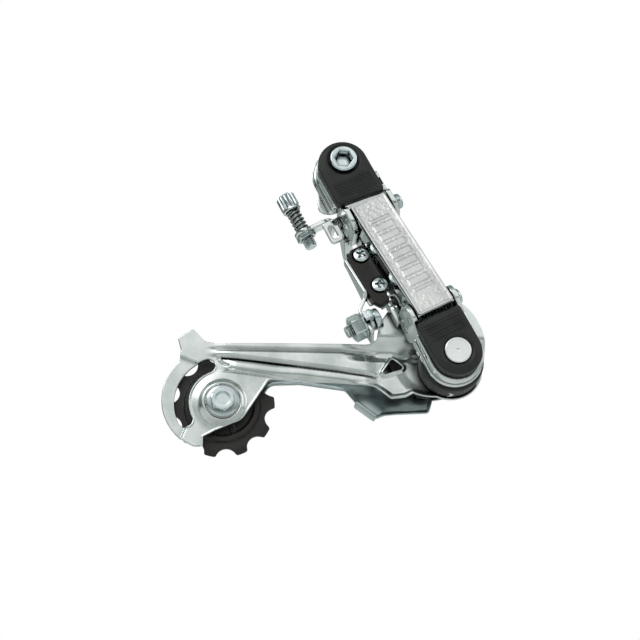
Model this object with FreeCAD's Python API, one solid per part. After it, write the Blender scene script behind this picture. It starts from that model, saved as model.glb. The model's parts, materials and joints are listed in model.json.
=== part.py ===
import FreeCAD, Part
import os
from math import acos, cos, pi, sin

V = FreeCAD.Vector
ORIGIN = V(0, 0, 0)
AXIS_X = V(1, 0, 0)
AXIS_Y = V(0, 1, 0)
AXIS_Z = V(0, 0, 1)

# A rear derailleur for a bicycle, in millimetres. X points forward, Y points from the
# outer side of the bike to the wheel, and Z points up. The origin is on the axis of the
# mounting bolt, in the face of the frame's hanger.
#
# The two knuckles and the two links are drawn hanging straight down below the mounting
# bolt, and then all of them lean forward together. A "drop" is a distance below the
# mounting bolt in that upright drawing. A link is drawn below its own upper pin.

# Chain and pulleys
CHAIN_PITCH = 12.7
PULLEY_TEETH = 10
ROLLER_POCKET_RADIUS = 4.1
PULLEY_TIP_RADIUS = 19.7
TOOTH_WIDTH = 2.2
PULLEY_RIM_RADIUS = 14.4
PULLEY_RIM_WIDTH = 4.4
PULLEY_WEB_RADIUS = 11.8
PULLEY_WEB_WIDTH = 2.2
PULLEY_HUB_RADIUS = 6.6
PULLEY_HUB_WIDTH = 6.0
PULLEY_BORE_RADIUS = 3.55
PULLEY_BUSH_WIDTH = 8.2
PULLEY_BOLT_RADIUS = 2.5
GUIDE_PHASE = 8.0
TENSION_PHASE = 5.5
DUST_CAP_RADIUS = 6.2
DUST_CAP_GAP = 0.1

# Linkage
LEAN = 27.4
PIVOT_SPAN = 88.9
UPPER_PIN_DROP = 22.4
LINK_LENGTH = 47.4
LINK_SPLAY = 10.5
LINK_SHIFT = 0.8
LINK_HALF_WIDTH = 7.7
LINK_SHEET = 1.1
LINK_WALL_REACH = 3.4
LINK_END_REACH = 3.2
OUTER_PIN_Y = -7.5
LINK_SPACING = 10.2
OUTER_WEB_Y = -5.3
LABEL_SHEET = 0.5
LABEL_HALF_WIDTH = 7.3
PIN_RADIUS = 2.0
PIN_HEAD_RADIUS = 3.1
UPPER_PIN_HEAD = 3.0
LOWER_PIN_HEAD = 1.8
EAR_GAP = 0.4
EAR_SHEET = 2.0
FINGER_SHEET = 1.4
RUNNING_FIT = 0.05
OPEN_PIVOT_FIT = 0.25

# Mounting bolt and stop plate
THREAD_RADIUS = 5.0
THREAD_LENGTH = 9.0
BOLT_NECK_RADIUS = 4.6
BOLT_HEAD_RADIUS = 5.25
BOLT_HEAD_FRONT = -15.2
BOLT_HEAD_BACK = -12.4
BOLT_SOCKET_FLATS = 6.0
BOLT_SOCKET_END = -11.4
BOLT_FLANGE_RADIUS = 7.4
BOLT_FLANGE_BACK = -10.8
BUSH_RADIUS = 6.2
BUSH_FIT = 0.02
STOP_SHEET = 1.5
STOP_RADIUS = 9.2

# Upper knuckle
UPPER_FRONT = -14.0
UPPER_CAP_BACK = -9.6
UPPER_BACK = -1.6
UPPER_ARCH_RADIUS = 9.75
UPPER_ARCH_SHIFT = -0.95
UPPER_ARCH_DROP = 1.8
UPPER_END_DROP = 16.9
UPPER_END_SLANT = 0.7
UPPER_END_CORNER = 1.2
UPPER_BODY_GROW = 0.3
UPPER_BODY_SHORTEN = 1.6
UPPER_BRIM = 1.6
UPPER_SHEET = 1.6
UPPER_CAP_WELL_RADIUS = 7.5
UPPER_CAP_WELL_FRONT = -12.5
UPPER_CAP_MOUTH_GAP = 0.2
GROOVE_RADIUS = 0.32
UPPER_GROOVES = 7
UPPER_GROOVE_DROP = 8.6
UPPER_GROOVE_PITCH = 1.15

# Lower knuckle and cage pivot
LOWER_FRONT = -22.0
LOWER_CAP_BACK = -17.4
LOWER_SEAM = -13.0
LOWER_SEAM_WIDTH = 0.4
LOWER_BACK = -9.2
LOWER_CAP_RADIUS = 9.2
LOWER_CAP_TOP_DROP = 73.3
LOWER_CAP_CORNER = 1.4
LOWER_CAP_RELIEF_RADIUS = 7.0
LOWER_BODY_RADIUS = 10.5
LOWER_BODY_TOP_DROP = 75.9
LOWER_GROOVES = 6
LOWER_GROOVE_PITCH = 1.25
HOUSING_RADIUS = 11.9
HOUSING_WALL = 2.0
HOUSING_FLOOR = 1.2
HOUSING_BACK = -0.5
AXLE_RADIUS = 4.0
AXLE_DISC_RADIUS = 5.0
AXLE_DISC_PROUD = 0.2

# Springs: mean coil radius, wire radius and turns
CAGE_SPRING = (7.4, 0.8, 3.5)
RETURN_SPRING = (2.75, 0.45, 8)
RETURN_SPRING_HALF = 5.6
ADJUSTER_SPRING = (2.45, 0.38, 5)

# Cable stop and barrel adjuster
BARREL_X = -23.2
BARREL_Y = 4.0
BARREL_THREAD_RADIUS = 2.5
BARREL_NECK_RADIUS = 1.9
BARREL_TIP = -21.4
KNOB_RADIUS = 3.8
KNOB_TOP = 2.4
KNOB_BOTTOM = -4.6
KNOB_FLUTES = 12
KNOB_FLUTE_RADIUS = 0.62
KNOB_COLLAR = 0.9
CABLE_SOCKET_RADIUS = 2.55
CABLE_SOCKET_DEPTH = 5.4
CABLE_RADIUS = 0.9
ARM_TOP = -13.8
ARM_SHEET = 1.8
ARM_HALF_WIDTH = 3.2
EYE_RADIUS = 4.0
STOP_NUT_FLATS = 7.0
STOP_NUT_HEIGHT = 1.9
STOP_FACE_FRONT = -3.0
STOP_FOOT_LOW = -19.6
STOP_FOOT_HIGH = -15.8
STOP_RIVET_Y = 2.6
STOP_RIVET_Z = -18.4
STOP_RIVET_RADIUS = 1.0
STOP_RIVET_HEAD_RADIUS = 1.2
STOP_RIVET_HEAD = 0.8

# Inner link, limit screws and their block
INNER_WEB_FRONT = -4.2
FLANGE_X = -18.2
FLANGE_SHEET = 1.4
FLANGE_BACK = 4.4
LUG_X = -23.4
LIMIT_SCREW_X = -11.3
LIMIT_SCREW_DROPS = (15.0, 29.8)
LIMIT_SCREW_TIPS = (7.4, 5.9)
LIMIT_SCREW_RADIUS = 2.0
LIMIT_HEAD_RADIUS = 2.95
LIMIT_HEAD_PROUD = 1.0
LIMIT_HEAD_HEIGHT = 2.15
LIMIT_RECESS_HALF_LENGTH = 1.8
LIMIT_RECESS_HALF_WIDTH = 0.38
LIMIT_RECESS_DEPTH = 1.3
BLOCK_FRONT = -6.8
BLOCK_TOP = -12.6
BLOCK_LOW = -38.0
BLOCK_WELL_RADIUS = 3.2
BLOCK_WELL_DEPTH = 1.2

# Cable anchor
ANCHOR_RADIUS = 2.5
ANCHOR_Y = -1.6
ANCHOR_DROP = 39.6
ANCHOR_THREAD_END = 7.4
ANCHOR_NUT_FLATS = 9.0
ANCHOR_NUT_HEIGHT = 4.3
ANCHOR_WASHER_RADIUS = 5.0
ANCHOR_WASHER_SHEET = 0.9
ANCHOR_HEAD_RADIUS = 4.2
ANCHOR_HEAD_HEIGHT = 2.8
CLAMP_RADIUS = 4.0
CLAMP_SHEET = 1.9
CLAMP_GAP = 0.02
CLAMP_ROOM = 2.4
CLAMP_HALF_WIDTH = 2.0

# Cage, with its arm pointing backwards as the spring leaves it
CAGE_SHEET = 1.4
CAGE_FRONT = 0.0
CAGE_GAP = 8.8
GUIDE_X = 34.3
GUIDE_Z = -69.9
TENSION_X = -44.3
TENSION_Z = -94.2
TENSION_BOSS = 1.2
TENSION_BOSS_RADIUS = 8.6
OUTER_GUIDE_RADIUS = 20.8
INNER_GUIDE_RADIUS = 19.2
INNER_TENSION_RADIUS = 14.1
PIVOT_LOBE_RADIUS = 12.8
BAND_X = -46.8
BAND_Z = -92.6
BAND_RADIUS = 20.2
BAND_WIDTH = 7.0
BAND_START = 112
BAND_END = 238
SLOT_INNER_RADIUS = 12.6
SLOT_OUTER_RADIUS = 17.9
SLOT_END = 212
KEEPER_DEPTH = 4.6
CAGE_BOLT_FLATS = 8.0
GUIDE_HEAD_HEIGHT = 2.6
TENSION_HEAD_HEIGHT = 2.2
TENSION_FLANGE_RADIUS = 6.0
TENSION_FLANGE_SHEET = 0.8
TENSION_NUT_HEIGHT = 2.6
TENSION_BOLT_PROUD = 3.0

# How far cutting tools reach past what they cut
SPARE = 1.0

# Derived places
OUTER_SPLAY_Y = -LINK_LENGTH * sin(LINK_SPLAY * pi / 180)
LOWER_PIN_DROP = UPPER_PIN_DROP + LINK_LENGTH * cos(LINK_SPLAY * pi / 180)
INNER_PIN_Y = OUTER_PIN_Y + LINK_SPACING
LOWER_OUTER_PIN_Y = OUTER_PIN_Y + OUTER_SPLAY_Y
LOWER_INNER_PIN_Y = INNER_PIN_Y + OUTER_SPLAY_Y
PIVOT_X = PIVOT_SPAN * sin(LEAN * pi / 180)
PIVOT_Z = -PIVOT_SPAN * cos(LEAN * pi / 180)
CAGE_BACK = CAGE_FRONT + CAGE_SHEET
CAGE_INNER_FRONT = CAGE_BACK + CAGE_GAP
CAGE_INNER_BACK = CAGE_INNER_FRONT + CAGE_SHEET
PULLEY_Y = CAGE_BACK + CAGE_GAP / 2
EAR_LEFT = LINK_SHIFT - LINK_HALF_WIDTH - EAR_GAP
EAR_RIGHT = LINK_SHIFT + LINK_HALF_WIDTH + EAR_GAP
EAR_LEFT_FACE = EAR_LEFT - EAR_SHEET
EAR_RIGHT_FACE = EAR_RIGHT + EAR_SHEET
INNER_WEB_BACK = INNER_WEB_FRONT + LINK_SHEET
PITCH_RADIUS = CHAIN_PITCH / 2 / sin(pi / PULLEY_TEETH)


# ---------------------------------------------------------------- drawing helpers

def box(x0, x1, y0, y1, z0, z1):
    return Part.makeBox(x1 - x0, y1 - y0, z1 - z0, V(x0, y0, z0))


def rod_x(radius, x0, x1, y=0, z=0):
    return Part.makeCylinder(radius, x1 - x0, V(x0, y, z), AXIS_X)


def rod_y(radius, y0, y1, x=0, z=0):
    return Part.makeCylinder(radius, y1 - y0, V(x, y0, z), AXIS_Y)


def rod_z(radius, z0, z1, x=0, y=0):
    return Part.makeCylinder(radius, z1 - z0, V(x, y, z0), AXIS_Z)


def fuse(shapes):
    """One solid out of several that touch, with the seams between them removed."""
    return shapes[0].multiFuse(shapes[1:]).removeSplitter()


def cut(shape, tools):
    return shape.cut(Part.makeCompound(tools))


def polar(x, z, radius, degrees):
    """A point's x and z on a circle that faces along Y."""
    return x + radius * cos(degrees * pi / 180), z + radius * sin(degrees * pi / 180)


def rounded_outline(corners):
    """A closed wire in the XZ plane through (x, z, radius) corners, each one rounded."""
    edges = []
    ends = []
    count = len(corners)
    for i in range(count):
        x, z, radius = corners[i]
        here = V(x, 0, z)
        before = V(corners[i - 1][0], 0, corners[i - 1][1]) - here
        after = V(corners[(i + 1) % count][0], 0, corners[(i + 1) % count][1]) - here
        before.normalize()
        after.normalize()
        if radius == 0:
            ends.append((here, here))
            continue
        half = acos(max(-1.0, min(1.0, before.dot(after)))) / 2
        reach = radius * cos(half) / sin(half)
        inward = before + after
        inward.normalize()
        middle = here + inward * (radius / sin(half) - radius)
        start = here + before * reach
        end = here + after * reach
        edges.append(Part.Arc(start, middle, end).toShape())
        ends.append((start, end))
    for i in range(count):
        start = ends[i][1]
        end = ends[(i + 1) % count][0]
        if start.distanceToPoint(end) > 1e-6:
            edges.append(Part.makeLine(start, end))
    return Part.Wire(Part.__sortEdges__(edges))


def plate_y(corners, y0, y1):
    """A flat plate that faces along Y, from its rounded outline in XZ."""
    face = Part.Face(rounded_outline(corners))
    plate = face.extrude(V(0, y1 - y0, 0))
    plate.translate(V(0, y0, 0))
    return plate


def swap_xy(shape):
    """Swap X and Y, so that a plate that faces along Y faces along X."""
    return shape.mirror(ORIGIN, V(1, -1, 0))


def plate_x(corners, x0, x1):
    """A flat plate that faces along X, from its rounded outline given as (y, z, radius)."""
    return swap_xy(plate_y(corners, x0, x1))


def hexagon_y(flats, y0, y1, x=0, z=0):
    radius = flats / 2 / cos(pi / 6)
    corners = [(*polar(x, z, radius, 60 * i + 30), 0) for i in range(6)]
    return plate_y(corners, y0, y1)


def ring_sector(inner, outer, start, end, y0, y1, x, z):
    """A flat ring sector that faces along Y, from one angle to another in degrees."""
    rim = []
    for radius in (outer, inner):
        points = [polar(x, z, radius, turn) for turn in (start, (start + end) / 2, end)]
        rim.append([V(px, y0, pz) for px, pz in points])
    far, near = rim
    edges = [Part.Arc(*far).toShape(), Part.makeLine(far[2], near[2]),
             Part.Arc(*reversed(near)).toShape(), Part.makeLine(near[0], far[0])]
    return Part.Face(Part.Wire(edges)).extrude(V(0, y1 - y0, 0))


def coil_y(spring, y0, y1):
    """A coil spring along Y, drawn as one swept wire."""
    mean_radius, wire_radius, turns = spring
    height = y1 - y0 - 2 * wire_radius
    helix = Part.makeHelix(height / turns, height, mean_radius)
    profile = Part.Wire(Part.makeCircle(wire_radius, V(mean_radius, 0, 0), AXIS_Y))
    coil = Part.Wire(helix).makePipeShell([profile], True, True)
    coil.rotate(ORIGIN, AXIS_X, -90)
    coil.translate(V(0, y0 + wire_radius, 0))
    return coil


def lean(shape):
    """Lean a piece that was drawn hanging straight down to where the linkage stands."""
    shape.rotate(ORIGIN, AXIS_Y, -LEAN)
    return shape


def hang(shape, pin_y):
    """Hang a link, drawn below its upper pin, on a pin of the upper knuckle."""
    shape.rotate(ORIGIN, AXIS_X, -LINK_SPLAY)
    shape.translate(V(LINK_SHIFT, pin_y, -UPPER_PIN_DROP))
    return lean(shape)


# ---------------------------------------------------------------- mounting bolt

def mounting_bolt():
    head = rod_y(BOLT_HEAD_RADIUS, BOLT_HEAD_FRONT, BOLT_HEAD_BACK)
    flange = rod_y(BOLT_FLANGE_RADIUS, BOLT_HEAD_BACK, BOLT_FLANGE_BACK)
    neck = rod_y(BOLT_NECK_RADIUS, BOLT_FLANGE_BACK, 0)
    thread = rod_y(THREAD_RADIUS, 0, THREAD_LENGTH)
    socket = hexagon_y(BOLT_SOCKET_FLATS, BOLT_HEAD_FRONT - SPARE, BOLT_SOCKET_END)
    return fuse([head, flange, neck, thread]).cut(socket)


def mounting_bush():
    bush = rod_y(BUSH_RADIUS, BOLT_FLANGE_BACK, 0)
    return bush.cut(rod_y(BOLT_NECK_RADIUS + BUSH_FIT, BOLT_FLANGE_BACK - SPARE, SPARE))


def stop_plate():
    """The washer under the knuckle, with the tongue that hooks behind the hanger's heel."""
    washer = rod_y(STOP_RADIUS, -STOP_SHEET, 0)
    tongue = plate_y([(-8.9, -1.0, 0), (3.0, -6.0, 0), (-2.6, -17.8, 3.0), (-8.9, -17.2, 3.0)],
                     -STOP_SHEET, 0)
    hook = plate_y([(-8.9, -8.6, 0), (-7.4, -8.6, 0), (-7.4, -12.6, 0), (-8.9, -12.6, 0)], -0.2, 3.2)
    bore = rod_y(BUSH_RADIUS + RUNNING_FIT, -STOP_SHEET - SPARE, SPARE)
    return fuse([washer, tongue, hook]).cut(bore)


# ---------------------------------------------------------------- upper knuckle

def upper_outline(grow, y0, y1, end_grow=0):
    """The arch shape of the upper knuckle, from its round top to its slanted lower end."""
    radius = UPPER_ARCH_RADIUS + grow
    left = UPPER_ARCH_SHIFT - radius
    right = UPPER_ARCH_SHIFT + radius
    end = -UPPER_END_DROP - end_grow
    arch = rod_y(radius, y0, y1, UPPER_ARCH_SHIFT, -UPPER_ARCH_DROP)
    skirt = plate_y([(left, -UPPER_ARCH_DROP, 0), (right, -UPPER_ARCH_DROP, 0),
                     (right, end - UPPER_END_SLANT, UPPER_END_CORNER),
                     (left, end + UPPER_END_SLANT, UPPER_END_CORNER)], y0, y1)
    return fuse([arch, skirt])


def ear(x0, x1, corners, holes):
    """One side wall of a knuckle, facing along X, with its pin holes."""
    wall = plate_x(corners, x0, x1)
    return cut(wall, [rod_x(PIN_RADIUS, x0 - SPARE, x1 + SPARE, y, z) for y, z in holes])


def upper_shell():
    """The hollow body of the upper knuckle, with the brim round its back edge."""
    inside = UPPER_BACK - UPPER_SHEET
    body = upper_outline(UPPER_BODY_GROW, UPPER_CAP_BACK, UPPER_BACK, -UPPER_BODY_SHORTEN)
    hollow = upper_outline(-UPPER_SHEET, UPPER_CAP_BACK + UPPER_SHEET, inside,
                           -UPPER_BODY_SHORTEN - UPPER_SHEET)
    brim = upper_outline(UPPER_BRIM, inside, UPPER_BACK, -UPPER_BODY_SHORTEN)
    shell = fuse([body.cut(hollow), brim])
    return shell.cut(rod_y(BUSH_RADIUS + RUNNING_FIT, UPPER_CAP_BACK - SPARE, UPPER_BACK + SPARE))


def upper_bracket():
    """The upper knuckle: its shell, the two ears on the pins, and the stop finger."""
    front = UPPER_CAP_BACK
    pins = [(OUTER_PIN_Y, -UPPER_PIN_DROP), (INNER_PIN_Y, -UPPER_PIN_DROP)]
    low = -UPPER_PIN_DROP - 5.4
    corners = [(front, -8.0, 0), (UPPER_BACK, -8.0, 0), (UPPER_BACK, -14.2, 1.2),
               (INNER_PIN_Y + 4.8, -15.6, 3.2), (INNER_PIN_Y + 5.2, low, 5.0),
               (OUTER_PIN_Y - 5.2, low, 5.0), (OUTER_PIN_Y - 5.2, -17.8, 2.0), (front, -16.6, 0)]
    left = ear(EAR_LEFT_FACE, EAR_LEFT, corners, pins)
    right = ear(EAR_RIGHT, EAR_RIGHT_FACE, corners, pins)
    shell_side = UPPER_ARCH_SHIFT + UPPER_ARCH_RADIUS
    bridge = box(shell_side - 1, EAR_RIGHT_FACE, front, UPPER_BACK, -14.2, -8)
    # The finger that the high limit screw meets when the linkage has swung fully inboard
    finger = plate_x([(INNER_PIN_Y - 1, -19.8, 0), (INNER_PIN_Y + 4.5, -19.8, 2.0),
                      (19.0, -26.0, 2.0), (19.0, -33.6, 0.6), (17.4, -33.6, 0.6),
                      (17.4, -28.6, 1.5), (INNER_PIN_Y, -25.0, 0)],
                     EAR_LEFT_FACE - FINGER_SHEET, EAR_LEFT)
    finger = finger.cut(rod_x(PIN_RADIUS, EAR_LEFT_FACE - 2 * FINGER_SHEET, EAR_LEFT + SPARE,
                              INNER_PIN_Y, -UPPER_PIN_DROP))
    return lean(fuse([upper_shell(), left, right, bridge, finger]))


def upper_cap():
    """The plastic cap over the upper knuckle, open round the bolt's head."""
    cap = upper_outline(0, UPPER_FRONT, UPPER_CAP_BACK)
    well = rod_y(UPPER_CAP_WELL_RADIUS, UPPER_CAP_WELL_FRONT, UPPER_CAP_BACK + SPARE)
    mouth = rod_y(BOLT_HEAD_RADIUS + UPPER_CAP_MOUTH_GAP, UPPER_FRONT - SPARE, UPPER_CAP_WELL_FRONT + SPARE)
    grooves = []
    for i in range(UPPER_GROOVES):
        drop = UPPER_GROOVE_DROP + i * UPPER_GROOVE_PITCH
        grooves.append(rod_x(GROOVE_RADIUS, -12, 12, UPPER_FRONT, -drop))
    return lean(cut(cap, [well, mouth] + grooves))


def pivot_pin(y, drop, head_height):
    """A riveted pin through both ears of a knuckle, with its head on the forward side."""
    shank = rod_x(PIN_RADIUS, EAR_LEFT_FACE, EAR_RIGHT_FACE, y, -drop)
    head = rod_x(PIN_HEAD_RADIUS, EAR_RIGHT_FACE, EAR_RIGHT_FACE + head_height, y, -drop)
    return lean(fuse([shank, head]))


# ---------------------------------------------------------------- cable stop

def cable_stop_bracket():
    """A bent strip: a foot on the knuckle's side wall, a slotted face and an arm with an eye."""
    bend_x = EAR_LEFT_FACE - 3.0
    back = BARREL_Y + ARM_HALF_WIDTH
    front = STOP_FACE_FRONT
    arm = box(BARREL_X, bend_x, BARREL_Y - ARM_HALF_WIDTH, back, ARM_TOP - ARM_SHEET, ARM_TOP)
    eye = rod_z(EYE_RADIUS, ARM_TOP - ARM_SHEET, ARM_TOP, BARREL_X, BARREL_Y)
    bend = box(bend_x - 1.6, bend_x, front, back, STOP_FOOT_LOW, ARM_TOP)
    face = plate_y([(-17.3, -16.6, 1.0), (bend_x, -16.6, 0), (bend_x + 1.0, -18.6, 1.0),
                    (bend_x + 1.0, -24.4, 1.0), (-12.6, -26.0, 1.5), (-17.3, -26.0, 1.5)],
                   front, front + 1.6)
    slot = plate_y([(-15.8, -18.8, 1.0), (-13.6, -18.8, 1.0), (-13.6, -24.3, 1.0), (-15.8, -24.3, 1.0)],
                   front - SPARE, front + 2 * SPARE)
    foot = box(EAR_LEFT_FACE - 1.5, EAR_LEFT_FACE, -0.6, back, STOP_FOOT_LOW, STOP_FOOT_HIGH)
    shelf = box(bend_x - 1.6, EAR_LEFT_FACE, -0.6, back, STOP_FOOT_HIGH - 1.4, STOP_FOOT_HIGH)
    barrel_hole = rod_z(BARREL_THREAD_RADIUS + RUNNING_FIT, ARM_TOP - ARM_SHEET - SPARE, ARM_TOP + SPARE,
                        BARREL_X, BARREL_Y)
    rivet_hole = rod_x(STOP_RIVET_RADIUS, EAR_LEFT_FACE - 1.6, EAR_LEFT_FACE + SPARE,
                       STOP_RIVET_Y, STOP_RIVET_Z)
    return lean(cut(fuse([arm, eye, bend, face, foot, shelf]), [slot, barrel_hole, rivet_hole]))


def cable_stop_rivet():
    seat = EAR_LEFT_FACE - 1.5
    head = rod_x(STOP_RIVET_HEAD_RADIUS, seat - STOP_RIVET_HEAD, seat, STOP_RIVET_Y, STOP_RIVET_Z)
    shank = rod_x(STOP_RIVET_RADIUS, seat, EAR_LEFT_FACE, STOP_RIVET_Y, STOP_RIVET_Z)
    return lean(fuse([head, shank]))


def barrel_adjuster():
    """A fluted knob that takes the cable housing's end, on a screw through the cable stop."""
    knob = rod_z(KNOB_RADIUS, KNOB_BOTTOM, KNOB_TOP, BARREL_X, BARREL_Y)
    flutes = []
    for i in range(KNOB_FLUTES):
        x, y = polar(BARREL_X, BARREL_Y, KNOB_RADIUS + 0.15, 360 * i / KNOB_FLUTES)
        flutes.append(rod_z(KNOB_FLUTE_RADIUS, KNOB_BOTTOM + KNOB_COLLAR, KNOB_TOP + SPARE, x, y))
    thread_top = ARM_TOP + 0.1
    neck = rod_z(BARREL_NECK_RADIUS, thread_top, KNOB_BOTTOM, BARREL_X, BARREL_Y)
    thread = rod_z(BARREL_THREAD_RADIUS, BARREL_TIP, thread_top, BARREL_X, BARREL_Y)
    whole = fuse([cut(knob, flutes), neck, thread])
    socket = rod_z(CABLE_SOCKET_RADIUS, KNOB_TOP - CABLE_SOCKET_DEPTH, KNOB_TOP + SPARE, BARREL_X, BARREL_Y)
    cable_hole = rod_z(CABLE_RADIUS, BARREL_TIP - SPARE, KNOB_TOP, BARREL_X, BARREL_Y)
    return lean(cut(whole, [socket, cable_hole]))


def adjuster_spring():
    coil = coil_y(ADJUSTER_SPRING, -KNOB_BOTTOM + 0.1, -ARM_TOP - 0.05)
    coil.rotate(ORIGIN, AXIS_X, -90)
    coil.translate(V(BARREL_X, BARREL_Y, 0))
    return lean(coil)


def adjuster_nut():
    seat = ARM_SHEET - ARM_TOP
    nut = hexagon_y(STOP_NUT_FLATS, seat, seat + STOP_NUT_HEIGHT)
    nut = nut.cut(rod_y(BARREL_THREAD_RADIUS + RUNNING_FIT, seat - SPARE, seat + STOP_NUT_HEIGHT + SPARE))
    nut.rotate(ORIGIN, AXIS_X, -90)
    nut.translate(V(BARREL_X, BARREL_Y, 0))
    return lean(nut)


# ---------------------------------------------------------------- links

def link_walls(y_web, end_reach, lower_fit):
    """Side walls of a link's channel, from its web to past its pins, with pin holes."""
    low = -LINK_LENGTH - end_reach
    corners = [(y_web, low, 0), (LINK_WALL_REACH, low, 3.0), (LINK_WALL_REACH, end_reach, 3.0),
               (y_web, end_reach, 0)]
    walls = []
    for x0 in (-LINK_HALF_WIDTH, LINK_HALF_WIDTH - LINK_SHEET):
        wall = plate_x(corners, x0, x0 + LINK_SHEET)
        upper_hole = rod_x(PIN_RADIUS + RUNNING_FIT, x0 - SPARE, x0 + 3 * SPARE)
        lower_hole = rod_x(PIN_RADIUS + lower_fit, x0 - SPARE, x0 + 3 * SPARE, 0, -LINK_LENGTH)
        walls.append(cut(wall, [upper_hole, lower_hole]))
    return walls


def outer_link():
    web = box(-LINK_HALF_WIDTH, LINK_HALF_WIDTH, OUTER_WEB_Y, OUTER_WEB_Y + LINK_SHEET,
              -LINK_LENGTH - LINK_END_REACH, LINK_END_REACH)
    walls = link_walls(OUTER_WEB_Y, LINK_END_REACH, RUNNING_FIT)
    return hang(fuse([web] + walls), OUTER_PIN_Y)


def link_label():
    top, low = 3.0, -LINK_LENGTH - 3.0
    plate = plate_y([(-LABEL_HALF_WIDTH, top, 0.6), (LABEL_HALF_WIDTH, top, 0.6),
                     (LABEL_HALF_WIDTH, low, 0.6), (-LABEL_HALF_WIDTH, low, 0.6)],
                    OUTER_WEB_Y - LABEL_SHEET, OUTER_WEB_Y)
    return hang(plate, OUTER_PIN_Y)


def screw_flange():
    """The flange left of the screw block: it deepens downwards and steps out to the anchor's lug."""
    inner, lug_inner = FLANGE_X + FLANGE_SHEET, LUG_X + FLANGE_SHEET
    flange = plate_y([(FLANGE_X, -13.4, 0), (inner, -13.4, 0), (inner, -30.6, 2.0),
                      (lug_inner, -35.2, 0.5), (lug_inner, -45.6, 0), (LUG_X, -45.6, 0),
                      (LUG_X, -35.0, 2.0), (FLANGE_X, -30.2, 2.0)], BLOCK_FRONT, FLANGE_BACK)
    above = plate_x([(INNER_WEB_BACK + 0.4, -13.0, 0), (INNER_WEB_BACK + 0.4, -16.0, 0),
                     (FLANGE_BACK, -34.6, 2.0), (FLANGE_BACK + SPARE, -34.6, 0),
                     (FLANGE_BACK + SPARE, -13.0, 0)], LUG_X - SPARE, 0)
    above_lug = box(LUG_X - SPARE, FLANGE_X, BLOCK_FRONT - SPARE, BLOCK_FRONT + 1.4, -60, -30.2)
    hole = rod_x(ANCHOR_RADIUS, LUG_X - SPARE, lug_inner + SPARE, ANCHOR_Y, -ANCHOR_DROP)
    return cut(flange, [above, above_lug, hole])


def inner_link():
    """The inner link: a channel whose web runs on to the left as the screw block's backing."""
    low = -LINK_LENGTH - 2.6
    web = plate_y([(-LINK_HALF_WIDTH, LINK_END_REACH, 0), (LINK_HALF_WIDTH, LINK_END_REACH, 0),
                   (LINK_HALF_WIDTH, low, 0), (-LINK_HALF_WIDTH, low, 0),
                   (-LINK_HALF_WIDTH, -34.8, 0), (FLANGE_X, -34.8, 0),
                   (FLANGE_X, -13.0, 2.0), (-LINK_HALF_WIDTH, -9.4, 2.0)],
                  INNER_WEB_FRONT, INNER_WEB_BACK)
    walls = link_walls(INNER_WEB_FRONT, LINK_WALL_REACH, OPEN_PIVOT_FIT)
    screws = []
    for drop in LIMIT_SCREW_DROPS:
        screws.append(rod_y(LIMIT_SCREW_RADIUS + RUNNING_FIT, -6, 5, LIMIT_SCREW_X, -drop))
    return hang(cut(fuse([web, screw_flange()] + walls), screws), INNER_PIN_Y)


def limit_screw_block():
    """The plastic block that grips both limit screws, with cut-off corners."""
    right = -LINK_HALF_WIDTH - 0.6
    left = FLANGE_X + FLANGE_SHEET
    step = left + 6.1
    block = plate_y([(left, BLOCK_TOP - 2.2, 1.0), (left + 3.0, BLOCK_TOP + 1.0, 1.5),
                     (right, BLOCK_TOP + 2.0, 1.0), (right, -29.6, 1.0), (step, -32.6, 1.0),
                     (step, BLOCK_LOW + 0.6, 1.6), (left + 1.6, BLOCK_LOW, 1.2),
                     (left, BLOCK_LOW + 2.6, 1.0)], BLOCK_FRONT, INNER_WEB_FRONT)
    holes = []
    for drop in LIMIT_SCREW_DROPS:
        holes.append(rod_y(BLOCK_WELL_RADIUS, BLOCK_FRONT - SPARE, BLOCK_FRONT + BLOCK_WELL_DEPTH,
                           LIMIT_SCREW_X, -drop))
        holes.append(rod_y(LIMIT_SCREW_RADIUS + RUNNING_FIT, BLOCK_FRONT - SPARE, INNER_WEB_BACK,
                           LIMIT_SCREW_X, -drop))
    return hang(cut(block, holes), INNER_PIN_Y)


def limit_screw(drop, tip):
    """A cross-headed adjusting screw, with its head outboard and its tip inboard."""
    head_front = BLOCK_FRONT - LIMIT_HEAD_PROUD
    head_back = head_front + LIMIT_HEAD_HEIGHT
    head = rod_y(LIMIT_HEAD_RADIUS, head_front, head_back, LIMIT_SCREW_X, -drop)
    shank = rod_y(LIMIT_SCREW_RADIUS, head_back, tip, LIMIT_SCREW_X, -drop)
    long_half, short_half = LIMIT_RECESS_HALF_LENGTH, LIMIT_RECESS_HALF_WIDTH
    arms = []
    for half_x, half_z in ((long_half, short_half), (short_half, long_half)):
        arms.append(box(LIMIT_SCREW_X - half_x, LIMIT_SCREW_X + half_x, head_front - SPARE,
                        head_front + LIMIT_RECESS_DEPTH, -drop - half_z, -drop + half_z))
    return hang(cut(fuse([head, shank]), arms), INNER_PIN_Y)


# ---------------------------------------------------------------- cable anchor

def anchor_bolt():
    head_seat = LUG_X + FLANGE_SHEET + CLAMP_ROOM
    shank = rod_x(ANCHOR_RADIUS, LUG_X - ANCHOR_THREAD_END, head_seat, ANCHOR_Y, -ANCHOR_DROP)
    head = rod_x(ANCHOR_HEAD_RADIUS, head_seat, head_seat + ANCHOR_HEAD_HEIGHT, ANCHOR_Y, -ANCHOR_DROP)
    return hang(fuse([shank, head]), INNER_PIN_Y)


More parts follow.
